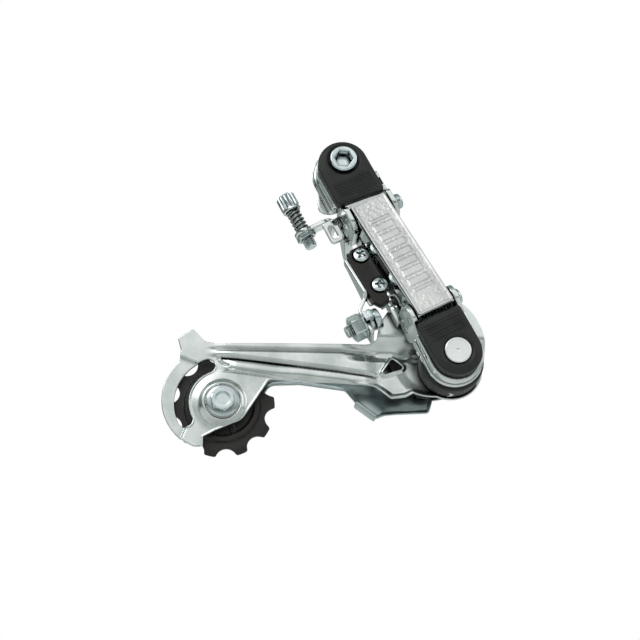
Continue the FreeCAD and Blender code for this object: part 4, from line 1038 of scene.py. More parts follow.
def spring_housing():
    """The black drum round the cage spring, with a moulded lip; its small pale position mark is drawn by
    drum_mark.
    """
    low, high = millimetres("spring_housing")
    centre = CAGE_PIVOT / MM
    radius = (high[0] - low[0]) / 2
    depth = high[1] - low[1]
    profile = [(4.05, 0), (radius - 0.9, 0), (radius - 0.35, 0.12), (radius - 0.1, 0.5), (radius - 0.1, 2.2),
               (radius, 2.6), (radius, depth - 1.6), (radius - 0.15, depth - 1.5), (radius - 0.15, depth - 0.3),
               (radius - 0.4, depth), (radius - 1.9, depth), (radius - 2.0, depth - 0.3), (radius - 2.0, 1.2),
               (4.05, 1.2)]
    shape = Shape()
    shape.add(*lathe(profile, 96, True))
    matrix = reordered(WORLD, (centre[0], low[1], centre[2]), "xzy")
    drum = shape.piece("spring_housing_drum", matrix, CAP_BLACK, "spring_housing", sharp=45)
    return drum


def drum_mark():
    """The pale crescent on the drum's lower side."""
    low, high = millimetres("spring_housing")
    centre = CAGE_PIVOT / MM
    radius = (high[0] - low[0]) / 2
    vertices = []
    across, length = 5, 14
    for i in range(length + 1):
        s = i / length * 2 - 1
        for k in range(across + 1):
            t = k / across
            bend = 2.2 * (1 - s * s)
            y = (low[1] + high[1]) / 2 + 0.9 + s * 2.4
            sweep = bend * (0.35 + 0.65 * t) + 0.02 * t
            angle = math.radians(-97) + sweep / radius
            lift = radius + 0.04
            vertices.append((centre[0] + lift * math.cos(angle), y, centre[2] + lift * math.sin(angle)))
    faces = []
    row = across + 1
    for i in range(length):
        for k in range(across):
            a = i * row + k
            faces.append((a, a + 1, a + row + 1, a + row))
    shape = Shape()
    shape.add(vertices, faces)
    mark = shape.piece("spring_housing_mark", WORLD, MARK_WHITE, "spring_housing", replace=False)
    thick = mark.modifiers.new("thick", "SOLIDIFY")
    thick.thickness = 0.12 * MM
    return mark


# ---------------------------------------------------------------- bolts, pins and washers

def at(matrix, place, axis):
    """A drawing frame at a place whose Z, for turned shapes, runs along the named axis of another frame."""
    return reordered(matrix, place, {"x": "yzx", "y": "xzy", "z": "xyz"}[axis])


def mounting_bolt():
    low, high = millimetres("mounting_bolt")
    shape = Shape()
    turned = reordered(Matrix.Identity(4), (0, 0, 0), "xzy")
    head_low, head_high = low[1], low[1] + 2.8
    socket = hexagon(6.0, 27.0)
    mouth = lambda p: head_low + 0.45 * (1 - step(socket(p), 0.0, 0.5))
    shape.add(*slab(minus(circle(0, 0, 5.25), socket), (-6, -6), (6, 6), 0.22, mouth, flat(head_high),
                    0.55, 0.1))
    shape.add(*lathe(rounded(7.4, head_high, head_high + 1.6, 0.4, 3.55), 72, True), turned)
    shape.add(*lathe(rounded(4.0, head_high + 1.0, head_high + 1.6, 0.1), 48), turned)
    shape.add(*lathe(rounded(4.58, head_high + 1.5, 0.4, 0.1), 48), turned)
    shape.add(*thread(5.0, 4.42, 0.0, high[1] - 0.6, 1.0, 48, 6), turned)
    shape.add(*lathe([(0, high[1] - 1.2), (4.42, high[1] - 1.2), (4.4, high[1] - 0.4), (4.0, high[1]),
                      (0, high[1])], 48), turned)
    return shape.piece("mounting_bolt_turned", WORLD, PLATED, "mounting_bolt", sharp=38)


def mounting_bush():
    low, high = millimetres("mounting_bush")
    radius = (high[0] - low[0]) / 2
    profile = [(4.63, low[1]), (radius - 0.2, low[1]), (radius, low[1] + 0.2), (radius, high[1] - 0.2),
               (radius - 0.2, high[1]), (4.63, high[1])]
    shape = Shape()
    shape.add(*lathe(profile, 64, True))
    return shape.piece("mounting_bush_turned", at(WORLD, (0, 0, 0), "y"), TURNED, "mounting_bush")


def cage_axle():
    """The pivot's broad disc, faced on a lathe, and its shank."""
    low, high = millimetres("cage_axle")
    centre = CAGE_PIVOT / MM
    radius = (high[0] - low[0]) / 2
    back = local_box("lower_cap", KNUCKLE)[1][1]
    profile = [(0, low[1] + 0.22), (0.5, low[1] + 0.20), (0.7, low[1] + 0.12)]
    for i in range(14):
        reach = 0.9 + i * 0.25
        profile.append((reach, low[1] + 0.12 + 0.028 * (i % 2) - 0.004 * i))
    profile += [(radius - 0.5, low[1]), (radius - 0.15, low[1] + 0.12), (radius, low[1] + 0.45),
                (radius, back), (4.0, back), (4.0, high[1] - 0.3), (3.7, high[1]), (0, high[1])]
    shape = Shape()
    shape.add(*lathe(profile, 72))
    place = at(WORLD, (centre[0], 0, centre[2]), "y")
    return shape.piece("cage_axle_turned", place, TURNED, "cage_axle", sharp=50)


def pivot_pin(node, place):
    low, high = local_box(node, KNUCKLE)
    upper = node.endswith("upper")
    height = 3.0 if upper else 1.8
    seat = high[0] - height
    profile = [(0, low[0]), (1.6, low[0]), (2.0, low[0] + 0.3), (2.0, seat), (3.1, seat),
               (3.1, high[0] - 0.9), (2.95, high[0] - 0.4), (2.6, high[0] - 0.1), (2.2, high[0]),
               (1.3, high[0]), (1.0, high[0] - 0.35), (0, high[0] - 0.5)]
    shape = Shape()
    shape.add(*lathe(profile, 48))
    return shape.piece(node + "_riveted", at(KNUCKLE, (0, *place), "x"), PLATED, node, sharp=45)


def cross_recess(x, z, reach, turn):
    """0 to 1 inside a cross-shaped driver recess that narrows towards its ends."""
    c, s = math.cos(math.radians(turn)), math.sin(math.radians(turn))
    a, b = x * c + z * s, z * c - x * s
    arm = np.maximum(step(0.55 - np.abs(a), 0, 0.22) * step(reach - np.abs(b), 0, 0.25),
                     step(0.55 - np.abs(b), 0, 0.22) * step(reach - np.abs(a), 0, 0.25))
    return np.maximum(arm, 1 - step(np.hypot(a, b), 0.7, 1.1))


def limit_screw(node):
    joint = JOINTS["high_screw_turn" if node.endswith("high") else "low_screw_turn"]
    low, high = local_box(node, INNER_LINK)
    inverse = INNER_LINK.inverted()
    place = inverse @ Vector(joint["pos_m"])
    radius = (high[0] - low[0]) / 2
    turn = 38.0 if node.endswith("high") else 62.0

    def front(p):
        reach = np.hypot(p[:, 0], p[:, 1])
        dome = 0.5 * (reach / radius) ** 2
        depth = 1.35 * (1 - 0.45 * reach / 1.9)
        return low[1] + dome + depth * cross_recess(p[:, 0], p[:, 1], 1.9, turn)

    shape = Shape()
    head_back = low[1] + 2.15
    shape.add(*slab(circle(0, 0, radius), (-radius - 1, -radius - 1), (radius + 1, radius + 1), 0.15, front,
                    flat(head_back), 0.3, 0.12))
    turned = reordered(Matrix.Identity(4), (0, 0, 0), "xzy")
    shape.add(*lathe(rounded(1.95, head_back - 0.5, head_back + 1.5, 0.1), 32), turned)
    shape.add(*thread(2.0, 1.65, head_back + 1.0, high[1], 0.7, 32, 6), turned)
    matrix = INNER_LINK @ Matrix.Translation((place[0], 0, place[2]))
    return shape.piece(node + "_cross_head", matrix, PLATED, node, sharp=40)


def limit_screw_block():
    low, high = local_box("limit_screw_block", INNER_LINK)
    right, left, top, bottom = high[0], low[0], high[2], low[2]
    step_x = left + 6.1
    outline = polygon([(left, top - 2.9, 1.0), (left + 3.0, top - 0.2, 1.5), (right, top, 1.0),
                       (right, bottom + 8.4, 1.0), (step_x, bottom + 5.4, 1.0), (step_x, bottom + 0.6, 1.6),
                       (left + 1.6, bottom, 1.2), (left, bottom + 2.6, 1.0)])
    screws = []
    inverse = INNER_LINK.inverted()
    for name in ("high_screw_turn", "low_screw_turn"):
        place = inverse @ Vector(JOINTS[name]["pos_m"])
        screws.append((place[0], place[2]))
    wells = [circle(x, z, 3.2) for x, z in screws]
    holes = [circle(x, z, 2.05) for x, z in screws]

    def front(p):
        y = np.full(len(p), low[1])
        for well in wells:
            y += 1.2 * (1 - step(well(p), -0.05, 0.25))
        return y

    shape = Shape()
    shape.add(*slab(minus(outline, *holes), (left - 1, bottom - 1), (right + 1, top + 1), 0.35, front,
                    flat(high[1]), 0.45, 0.15))
    return shape.piece("limit_screw_block_moulded", INNER_LINK, BLOCK_BLACK, "limit_screw_block", sharp=45)


def tension_bolt():
    low, high = millimetres("tension_bolt")
    seat = low[1] + 3.0
    shape = Shape()
    turned = reordered(Matrix.Identity(4), (0, 0, 0), "xzy")
    shape.add(*hex_body(8.0, low[1], seat - 0.6, turn=12.0, dish=0.12))
    shape.add(*lathe([(0, seat - 0.8), (5.2, seat - 0.8), (5.8, seat - 0.6), (6.0, seat - 0.3), (6.0, seat),
                      (0, seat)], 64), turned)
    shape.add(*lathe(rounded(2.5, seat - 0.2, seat + 12.0, 0.1), 32), turned)
    shape.add(*thread(2.5, 2.1, seat + 11.0, high[1], 0.8, 32, 6), turned)
    centre = TENSION_CENTRE / MM
    return shape.piece("tension_bolt_hexagon", reordered(WORLD, (centre[0], 0, centre[2]), "xyz"), PLATED,
                       "tension_bolt", sharp=22)


def guide_bolt():
    low, high = millimetres("guide_bolt")
    centre = GUIDE_CENTRE / MM
    seat = high[1] - 2.6
    shape = Shape()
    turned = reordered(Matrix.Identity(4), (0, 0, 0), "xzy")
    vertices, faces = hex_body(8.0, 0, 2.6, turn=20.0, dish=0.3)
    shape.add([(x, high[1] - y, z) for x, y, z in vertices], faces)
    shape.add(*lathe(rounded(2.5, low[1], seat + 0.2, 0.2), 32), turned)
    return shape.piece("guide_bolt_hexagon", reordered(WORLD, (centre[0], 0, centre[2]), "xyz"), PLATED,
                       "guide_bolt", sharp=35)


def tension_nut():
    low, high = millimetres("tension_nut")
    centre = TENSION_CENTRE / MM
    shape = Shape()
    vertices, faces = hex_body(8.0, 0, high[1] - low[1], bore=2.5, turn=10.0)
    shape.add([(x, high[1] - y, z) for x, y, z in vertices], faces)
    return shape.piece("tension_nut_hexagon", reordered(WORLD, (centre[0], 0, centre[2]), "xyz"), PLATED,
                       "tension_nut", sharp=35)


def pulley_bush(node, centre):
    low, high = millimetres(node)
    outer = (high[0] - low[0]) / 2
    profile = [(2.52, low[1]), (outer - 0.25, low[1]), (outer, low[1] + 0.25), (outer, high[1] - 0.25),
               (outer - 0.25, high[1]), (2.52, high[1])]
    shape = Shape()
    shape.add(*lathe(profile, 48, True))
    return shape.piece(node + "_turned", at(WORLD, (centre[0] / MM, 0, centre[2] / MM), "y"), TURNED, node)


def dust_caps(node, centre):
    """Two dished washers, one each side of a pulley's hub."""
    low, high = millimetres(node)
    radius = (high[0] - low[0]) / 2
    shape = Shape()
    middle = centre[1] / MM
    for side, face in ((-1, low[1]), (1, high[1])):
        hub = middle + side * 3.1
        profile = [(3.5, face), (radius - 0.5, face), (radius - 0.1, face - side * 0.25),
                   (radius, hub + side * 0.1), (radius - 0.4, hub), (3.5, hub)]
        shape.add(*lathe(profile, 64, True))
    return shape.piece(node + "_pressed", at(WORLD, (centre[0] / MM, 0, centre[2] / MM), "y"), TURNED, node)


# ---------------------------------------------------------------- springs

def coil(mean_radius, wire, low, high, turns, hand=1, dead=0.75):
    """Points up a coil spring about Z, its end turns laid flat."""
    total = turns + 2 * dead
    points = []
    count = int(total * 28)
    for i in range(count + 1):
        turn = total * i / count
        rise = min(max(turn - dead, 0), turns) / turns
        closing = (min(turn, dead) + max(turn - dead - turns, 0)) * wire * 1.6
        span = high - low - 2 * wire - 2 * dead * wire * 1.6
        angle = hand * 2 * math.pi * turn
        points.append((mean_radius * math.cos(angle), mean_radius * math.sin(angle),
                       low + wire + closing + rise * span))
    return points


def spring(node, matrix, radius, wire, low, high, turns, hand=1):
    shape = Shape()
    shape.add(*tube(coil(radius, wire, low, high, turns, hand), wire, 10))
    return shape.piece(node + "_wound", matrix, WIRE, node, sharp=60)


def springs():
    barrel = KNUCKLE.inverted() @ joint_place("barrel_turn")
    low, high = local_box("adjuster_spring", KNUCKLE)
    made = [spring("adjuster_spring", KNUCKLE @ Matrix.Translation((barrel[0], barrel[1], 0)), 2.45, 0.42,
                   low[2], high[2], 4.2)]
    low, high = local_box("return_spring", KNUCKLE)
    made.append(spring("return_spring", at(KNUCKLE, (0, *LOWER_OUTER), "x"), 2.75, 0.45, low[0], high[0], 7))
    low, high = millimetres("cage_spring")
    centre = CAGE_PIVOT / MM
    made.append(spring("cage_spring", at(WORLD, (centre[0], 0, centre[2]), "y"), 7.4, 0.8, low[1], high[1], 2.4))
    return made


# ---------------------------------------------------------------- barrel adjuster

def barrel_adjuster():
    """The fluted knob with its cable socket, a waist, and a fine screw."""
    low, high = local_box("barrel_adjuster", KNUCKLE)
    place = KNUCKLE.inverted() @ joint_place("barrel_turn")
    radius = (high[0] - low[0]) / 2
    top, bottom = high[2], high[2] - 7.0
    socket = top - 5.4
    outer = [(0, bottom, 0), (2.2, bottom, 0), (radius - 0.35, bottom, 0), (radius, bottom + 0.3, 0),
             (radius, bottom + 1.1, 0), (radius - 0.1, bottom + 1.35, 0.15), (radius, bottom + 1.6, 1),
             (radius, top - 0.5, 1), (radius - 0.35, top, 0.6), (2.95, top, 0), (2.55, top - 0.35, 0),
             (2.55, socket, 0), (1.0, socket - 0.3, 0), (0, socket - 0.3, 0)]
    segments, flutes = 120, 12
    vertices, faces = lathe([(r, z) for r, z, _ in outer], segments)
    wave = []
    for r, z, depth in outer:
        count = 1 if r == 0 else segments
        for i in range(count):
            turn = 2 * math.pi * i / segments
            bite = (0.5 + 0.5 * math.cos(flutes * turn)) ** 2.2
            wave.append(depth * 0.8 * bite)
    shaped = []
    for (x, y, z), bite in zip(vertices, wave):
        reach = math.hypot(x, y)
        scale = (reach - bite) / reach if reach > 0 else 1
        shaped.append((x * scale, y * scale, z))
    shape = Shape()
    shape.add(shaped, faces)
    arm = local_box("cable_stop_bracket", KNUCKLE)[1][2]
    shape.add(*lathe(rounded(1.9, arm - 0.4, bottom + 0.4, 0.1), 32))
    shape.add(*thread(2.5, 2.12, low[2], arm + 0.2, 0.8, 36, 7))
    matrix = KNUCKLE @ Matrix.Translation((place[0], place[1], 0))
    return shape.piece("barrel_adjuster_fluted", matrix, PLATED, "barrel_adjuster", sharp=40)


def adjuster_nut():
    low, high = local_box("adjuster_nut", KNUCKLE)
    place = KNUCKLE.inverted() @ joint_place("barrel_turn")
    shape = Shape()
    vertices, faces = hex_body(7.0, 0, high[2] - low[2], bore=2.5, turn=8.0, both=True)
    shape.add([(x, z, high[2] - y) for x, y, z in vertices], faces)
    matrix = KNUCKLE @ Matrix.Translation((place[0], place[1], 0))
    return shape.piece("adjuster_nut_hexagon", matrix, PLATED, "adjuster_nut", sharp=35)


# ---------------------------------------------------------------- cable anchor

def anchor_place():
    """The anchor bolt's y and z in the inner link's frame, and its lug's outer face."""
    low, high = local_box("anchor_nut", INNER_LINK)
    return (low[1] + high[1]) / 2, (low[2] + high[2]) / 2, high[0]


def anchor_bolt():
    low, high = local_box("anchor_bolt", INNER_LINK)
    y, z, lug = anchor_place()
    shape = Shape()
    shape.add(*thread(2.5, 2.1, low[0], lug + 0.3, 0.8, 36, 7))
    shape.add(*lathe(rounded(2.45, lug, high[0] - 2.6, 0.1), 32))
    shape.add(*lathe(rounded(4.2, high[0] - 2.8, high[0], 0.6), 48))
    return shape.piece("anchor_bolt_threaded", at(INNER_LINK, (0, y, z), "x"), PLATED, "anchor_bolt", sharp=40)


def anchor_nut():
    low, high = local_box("anchor_nut", INNER_LINK)
    y, z, _ = anchor_place()
    shape = Shape()
    turned = reordered(Matrix.Identity(4), (0, 0, 0), "xzy")
    shape.add(*hex_body(9.0, low[0], high[0] - 0.7, bore=2.5, turn=20.0))
    shape.add(*lathe([(2.5, high[0] - 0.9), (4.7, high[0] - 0.9), (5.0, high[0] - 0.7), (5.0, high[0] - 0.15),
                      (4.8, high[0]), (2.5, high[0])], 56, True), turned)
    matrix = reordered(INNER_LINK, (0, y, z), "yxz")
    return shape.piece("anchor_nut_flanged", matrix, PLATED, "anchor_nut", sharp=35)
# ---------------------------------------------------------------- bent sheet pieces

def turned_to(plate, order):
    """A plate's vertices with its own x, depth and z written into new axes, such as "yxz"."""
    vertices, faces = plate
    places = ["xyz".index(letter) for letter in order]
    result = []
    for vertex in vertices:
        moved = [0, 0, 0]
        for place, value in zip(places, vertex):
            moved[place] = value
        result.append(tuple(moved))
    return result, faces


def plate(corners, holes, low, high, cell=0.45, edge=0.35):
    """A flat plate from rounded corners, between two depths, with eased edges and round holes."""
    field = minus(polygon(corners), *[circle(*hole) for hole in holes])
    xs = [corner[0] for corner in corners]
    zs = [corner[1] for corner in corners]
    return slab(field, (min(xs) - 1, min(zs) - 1), (max(xs) + 1, max(zs) + 1), cell, flat(low), flat(high), edge)


def bent(vertices, start, bends, soft=1.2):
    """Bend a sheet drawn as (y, depth, distance) so that it follows headings in the XZ plane.

    bends holds (distance, heading in degrees) pairs; each heading starts at its distance.
    """
    far = max(v[2] for v in vertices) + 1
    near = min(v[2] for v in vertices) - 1
    s = np.linspace(near, far, 2000)
    heading = np.full(len(s), float(bends[0][1]))
    for (_, before), (place, after) in zip(bends, bends[1:]):
        heading += (after - before) * step(s, place - soft, place + soft)
    angle = np.radians(heading)
    ds = s[1] - s[0]
    xs = np.concatenate([[0], np.cumsum(np.cos(angle[:-1]) * ds)])
    zs = np.concatenate([[0], np.cumsum(np.sin(angle[:-1]) * ds)])
    xs += start[0] - np.interp(0, s, xs)
    zs += start[1] - np.interp(0, s, zs)
    result = []
    for y, depth, along_sheet in vertices:
        a = np.interp(along_sheet, s, angle)
        x, z = np.interp(along_sheet, s, xs), np.interp(along_sheet, s, zs)
        result.append((x - depth * math.sin(a), y, z + depth * math.cos(a)))
    return result


def inner_link():
    """The inner link: a channel, the backing of the screw block, and the flange with the anchor's lug."""
    low, high = local_box("inner_link", INNER_LINK)
    half, sheet, back = high[0], 1.1, high[1]
    face = local_box("limit_screw_block", INNER_LINK)[1][1]
    screws = []
    for name in ("high_screw_turn", "low_screw_turn"):
        place = INNER_LINK.inverted() @ joint_place(name)
        screws.append((place[0], place[2], 2.05))
    left = local_box("limit_screw_block", INNER_LINK)[0][0] - 1.4
    shape = Shape()
    web = [(-half, 3.2, 0.6), (half, 3.2, 0.6), (half, -50.0, 0.6), (-half, -50.0, 0.6), (-half, -34.8, 0.8),
           (left, -34.8, 0.6), (left, -13.0, 2.0), (-half, -9.4, 2.0)]
    shape.add(*plate(web, screws, face, face + sheet))
    wall = [(face, low[2], 0), (3.4, low[2], 3.0), (3.4, high[2], 3.0), (face, high[2], 0)]
    holes = [(0, 0, 2.05), (0, -LINK_LENGTH, 2.25)]
    for x0 in (-half, half - sheet):
        shape.add(*turned_to(plate(wall, holes, x0, x0 + sheet), "yxz"))
    # The flange, drawn flat as (y, distance down it) and then bent outwards to the lug
    front = local_box("limit_screw_block", INNER_LINK)[0][1]
    flange = [(front, 0.2, 0.6), (-2.9, 0.2, 0.6), (-2.7, 2.8, 1.0), (back, 22.0, 2.5), (back, 34.4, 1.2),
              (front + 1.4, 34.4, 1.2), (front + 1.4, 18.4, 1.5), (front, 16.6, 1.0)]
    vertices, faces = plate(flange, [(-1.6, 28.5, 2.5)], -0.7, 0.7, 0.4, 0.4)
    shape.add(bent(vertices, (left + 0.7, -13.4), [(0, -90), (17.0, -138), (24.0, -90)]), faces)
    return shape.piece("inner_link_pressed", INNER_LINK, CHROME, "inner_link", sharp=42)


def anchor_clamp():
    """The washer that pinches the cable, with its tab bent over the lug's edge."""
    low, high = local_box("anchor_clamp", INNER_LINK)
    y, z, _ = anchor_place()
    near = high[0] - 1.88
    shape = Shape()
    outline = union(circle(y, z, 3.95), polygon([(low[1], z - 2.0, 0.6), (y, z - 2.0, 0), (y, z + 2.0, 0),
                                                 (low[1], z + 2.0, 0.6)]))
    ridges = lambda p: near + 0.16 * (0.5 + 0.5 * np.cos(2 * np.pi * p[:, 1] / 1.3))
    shape.add(*turned_to(slab(minus(outline, circle(y, z, 2.5)), (low[1] - 1, z - 5), (y + 5, z + 5), 0.3, ridges,
                              flat(high[0]), 0.4), "yxz"))
    shape.add(*turned_to(plate([(low[1] + 0.02, z - 1.95, 0.5), (low[1] + 1.68, z - 1.95, 0.5),
                                (low[1] + 1.68, z + 1.95, 0.5), (low[1] + 0.02, z + 1.95, 0.5)], [],
                               low[0], near + 0.6, 0.3, 0.25), "yxz"))
    return shape.piece("anchor_clamp_pressed", INNER_LINK, PLATED, "anchor_clamp", sharp=42)


def cable_stop_bracket():
    """The cable stop: an arm with an eye, a slotted face in front, and a foot on the knuckle's wall."""
    low, high = local_box("cable_stop_bracket", KNUCKLE)
    barrel = KNUCKLE.inverted() @ joint_place("barrel_turn")
    x, y = barrel[0], barrel[1]
    foot, bend, back = high[0], -12.3, high[1]
    top = high[2]
    shape = Shape()
    arm = union(circle(x, y, 4.0), polygon([(x, y - 3.2, 0), (bend + 0.1, y - 3.2, 0), (bend + 0.1, y + 3.2, 0),
                                            (x, y + 3.2, 0)]))
    eye = slab(minus(arm, circle(x, y, 2.55)), (x - 5, y - 5), (bend + 1, y + 5), 0.35,
               lambda p: top - 1.8 - 0.35 * ridge(np.hypot(p[:, 0] - x, p[:, 1] - y) - 3.0, 0.5),
               flat(top), 0.35)
    shape.add(*turned_to(eye, "xzy"))
    side = [(-3.0, -19.6, 1.0), (back, -19.6, 1.0), (back, top, 0.9), (y - 3.2, top, 0.9), (-3.0, -16.4, 1.6)]
    shape.add(*turned_to(plate(side, [], bend - 1.6, bend, 0.4, 0.4), "yxz"))
    face = polygon([(-17.3, -16.6, 1.0), (bend, -16.6, 0.6), (bend + 1.0, -18.6, 1.0), (bend + 1.0, -24.4, 1.0),
                    (-12.6, low[2] + 0.02, 1.5), (-17.3, low[2] + 0.02, 1.5)])
    slot = polygon([(-15.8, -18.8, 1.0), (-13.6, -18.8, 1.0), (-13.6, -24.3, 1.0), (-15.8, -24.3, 1.0)])
    shape.add(*slab(minus(face, slot), (-18.5, -27.5), (-10, -15.5), 0.3, flat(low[1]),
                    flat(low[1] + 1.6), 0.4))
    shape.add(*turned_to(plate([(-0.6, -19.6, 0.8), (back, -19.6, 0.8), (back, -15.8, 0.5), (-0.6, -15.8, 0.5)],
                               [(2.6, -18.4, 1.0)], foot - 1.5, foot, 0.35, 0.3), "yxz"))
    shelf = [(bend - 1.6, -0.6, 0.5), (foot, -0.6, 0.3), (foot, back, 0.3), (bend - 1.6, back, 0.5)]
    shape.add(*turned_to(plate(shelf, [], -17.2, -15.8, 0.4, 0.3), "xzy"))
    return shape.piece("cable_stop_bracket_bent", KNUCKLE, CHROME, "cable_stop_bracket", sharp=42)


def cable_stop_rivet():
    low, high = local_box("cable_stop_rivet", KNUCKLE)
    place = ((low[1] + high[1]) / 2, (low[2] + high[2]) / 2)
    profile = [(0, low[0]), (0.5, low[0] + 0.04), (0.9, low[0] + 0.2), (1.15, low[0] + 0.5), (1.2, low[0] + 0.8),
               (1.0, low[0] + 0.8), (1.0, high[0]), (0, high[0])]
    shape = Shape()
    shape.add(*lathe(profile, 36))
    return shape.piece("cable_stop_rivet_domed", at(KNUCKLE, (0, *place), "x"), PLATED, "cable_stop_rivet")


def stop_plate():
    """The washer under the knuckle, with the tongue and hook that rest on the hanger's heel."""
    low, high = millimetres("stop_plate")
    outline = blended(2.0, circle(0, 0, 9.2), polygon([(-8.9, -1.0, 0), (3.0, -6.0, 0), (-2.6, -17.8, 3.0),
                                                       (-8.9, -17.2, 3.0)]))
    shape = Shape()
    shape.add(*slab(minus(outline, circle(0, 0, 6.25)), (-10.5, -19), (10.5, 10.5), 0.4, flat(low[1]),
                    flat(0), 0.35))
    hook = [(-8.9, -12.6, 0.3), (-7.4, -12.6, 0.3), (-7.4, -8.6, 0.3), (-8.9, -8.6, 0.3)]
    shape.add(*plate(hook, [], -0.4, high[1], 0.25, 0.3))
    return shape.piece("stop_plate_pressed", WORLD, STAMPED, "stop_plate", sharp=42)


def inner_cage_plate():
    """The inner cage plate, with a rolled rim, a shallow rib along its arm and the chain keeper."""
    low, high = millimetres("inner_cage_plate")
    face, back = high[1] - 1.4, high[1]
    guide, tension = GUIDE_CENTRE / MM, TENSION_CENTRE / MM
    arm = polygon([(-44.0, -80.0, 0), (-30.0, -74.0, 6.0), (10.0, -72.0, 6.0), (24.0, -60.0, 0),
                   (44.0, -60.0, 0), (44.0, -80.0, 0), (36.6, -86.6, 2.0), (34.4, -94.0, 1.5),
                   (20.8, -94.9, 1.0), (17.4, -95.3, 0.5), (14.2, -96.6, 0.5), (6.5, -90.9, 1.0),
                   (2.3, -85.9, 2.0), (-14.9, -83.8, 0), (-26.3, -84.4, 4.0), (-36.0, -100.0, 6.0),
                   (-44.0, -105.0, 0)])
    whole = union(arm, circle(guide[0], guide[2], 19.2), circle(tension[0], tension[2], 14.1))
    field = minus(whole, circle(guide[0], guide[2], 2.5), circle(tension[0], tension[2], 2.5))

    def relief(p):
        rib = ridge(segment_distance(p, (-22, -79.0), (8, -77.5)), 2.4)
        ring = sum(ridge(np.hypot(p[:, 0] - c[0], p[:, 1] - c[2]) - 7.6, 1.2) for c in (guide, tension))
        return 0.45 * rib + 0.25 * ring - 0.25 * (1 - step(-field(p), 0.3, 1.4))

    shape = Shape()
    shape.add(*slab(field, (low[0] - 1, low[2] - 1), (high[0] + 1, high[2] + 1), 0.45,
                    lambda p: face + 0.25 + relief(p),
                    lambda p: back - 0.5 + np.clip(relief(p), -0.2, 0.5), 0.35))
    keeper = [(6.5, -90.9, 0.3), (14.2, -96.6, 0.3), (13.2, -97.6, 0.4), (5.5, -92.0, 0.4)]
    shape.add(*plate(keeper, [], low[1], back - 0.3, 0.25, 0.3))
    # Its material is painted shade: a darker copy of the plated steel.
    return shape.piece("inner_cage_plate_stamped", WORLD, SHADED, "inner_cage_plate", sharp=42)


# ---------------------------------------------------------------- stage, light and camera

def colour_ramp(tree, source, stops, absolute=False):
    """A smooth colour ramp over a value from 0 to 1."""
    ramp = tree.nodes.new("ShaderNodeValToRGB")
    ramp.color_ramp.interpolation = "EASE"
    elements = ramp.color_ramp.elements
    elements[0].position, elements[0].color = stops[0][0], (*stops[0][1], 1)
    elements[1].position, elements[1].color = stops[-1][0], (*stops[-1][1], 1)
    for place, colour in stops[1:-1]:
        elements.new(place).color = (*colour, 1)
    if absolute:
        size = tree.nodes.new("ShaderNodeMath")
        size.operation = "ABSOLUTE"
        tree.links.new(source, size.inputs[0])
        source = size.outputs[0]
    tree.links.new(source, ramp.inputs["Fac"])
    return ramp.outputs["Color"]


def world_light():
    """A white studio: the camera sees white, and metal also sees darker cards below and behind."""
    world = bpy.data.worlds.new("studio")
    bpy.context.scene.world = world
    world.use_nodes = True
    tree = world.node_tree
    background = tree.nodes["Background"]
    where = tree.nodes.new("ShaderNodeTexCoord")
    split = tree.nodes.new("ShaderNodeSeparateXYZ")
    tree.links.new(where.outputs["Generated"], split.inputs[0])
    # Reflections: dark below, a bright sky above, and softer grey towards the two sides
    height = tree.nodes.new("ShaderNodeMapRange")
    height.inputs["From Min"].default_value = -1
    height.inputs["From Max"].default_value = 1
    tree.links.new(split.outputs["Z"], height.inputs["Value"])
    ramp = colour_ramp(tree, height.outputs["Result"], [
        (0.00, (0.018, 0.028, 0.025)), (0.30, (0.026, 0.040, 0.036)), (0.45, (0.060, 0.085, 0.078)),
        (0.53, (0.20, 0.25, 0.235)), (0.595, (0.56, 0.61, 0.59)), (0.655, (0.90, 0.92, 0.91)),
        (0.80, (1.0, 1.0, 1.0)), (0.91, (0.50, 0.55, 0.53)), (1.00, (0.22, 0.27, 0.25))])
    side = colour_ramp(tree, split.outputs["X"], [
        (0.00, (1.0, 1.0, 1.0)), (0.30, (1.0, 1.0, 1.0)), (0.42, (0.35, 0.40, 0.38)), (0.56, (0.85, 0.87, 0.86)),
        (0.72, (0.60, 0.64, 0.62)), (0.90, (0.10, 0.13, 0.12))], absolute=True)
    shade = tree.nodes.new("ShaderNodeMix")
    shade.data_type = "RGBA"
    shade.blend_type = "MULTIPLY"
    shade.inputs["Factor"].default_value = 0.9
    tree.links.new(ramp, shade.inputs["A"])
    tree.links.new(side, shade.inputs["B"])
    white = tree.nodes.new("ShaderNodeBackground")
    white.inputs["Color"].default_value = (1, 1, 1, 1)
    white.inputs["Strength"].default_value = 1.0
    seen = tree.nodes.new("ShaderNodeLightPath")
    mix = tree.nodes.new("ShaderNodeMixShader")
    tree.links.new(shade.outputs["Result"], background.inputs["Color"])
    background.inputs["Strength"].default_value = 1.05
    tree.links.new(seen.outputs["Is Camera Ray"], mix.inputs["Fac"])
    tree.links.new(background.outputs[0], mix.inputs[1])
    tree.links.new(white.outputs[0], mix.inputs[2])
    tree.links.new(mix.outputs[0], tree.nodes["World Output"].inputs["Surface"])


def area_light(name, place, target, size, power, colour=(1, 1, 1)):
    light = bpy.data.lights.new(name, "AREA")
    light.size = size
    light.energy = power
    light.color = colour
    lamp = bpy.data.objects.new(name, light)
    bpy.context.scene.collection.objects.link(lamp)
    lamp.location = place
    lamp.rotation_euler = (Vector(target) - Vector(place)).to_track_quat("-Z", "Y").to_euler()


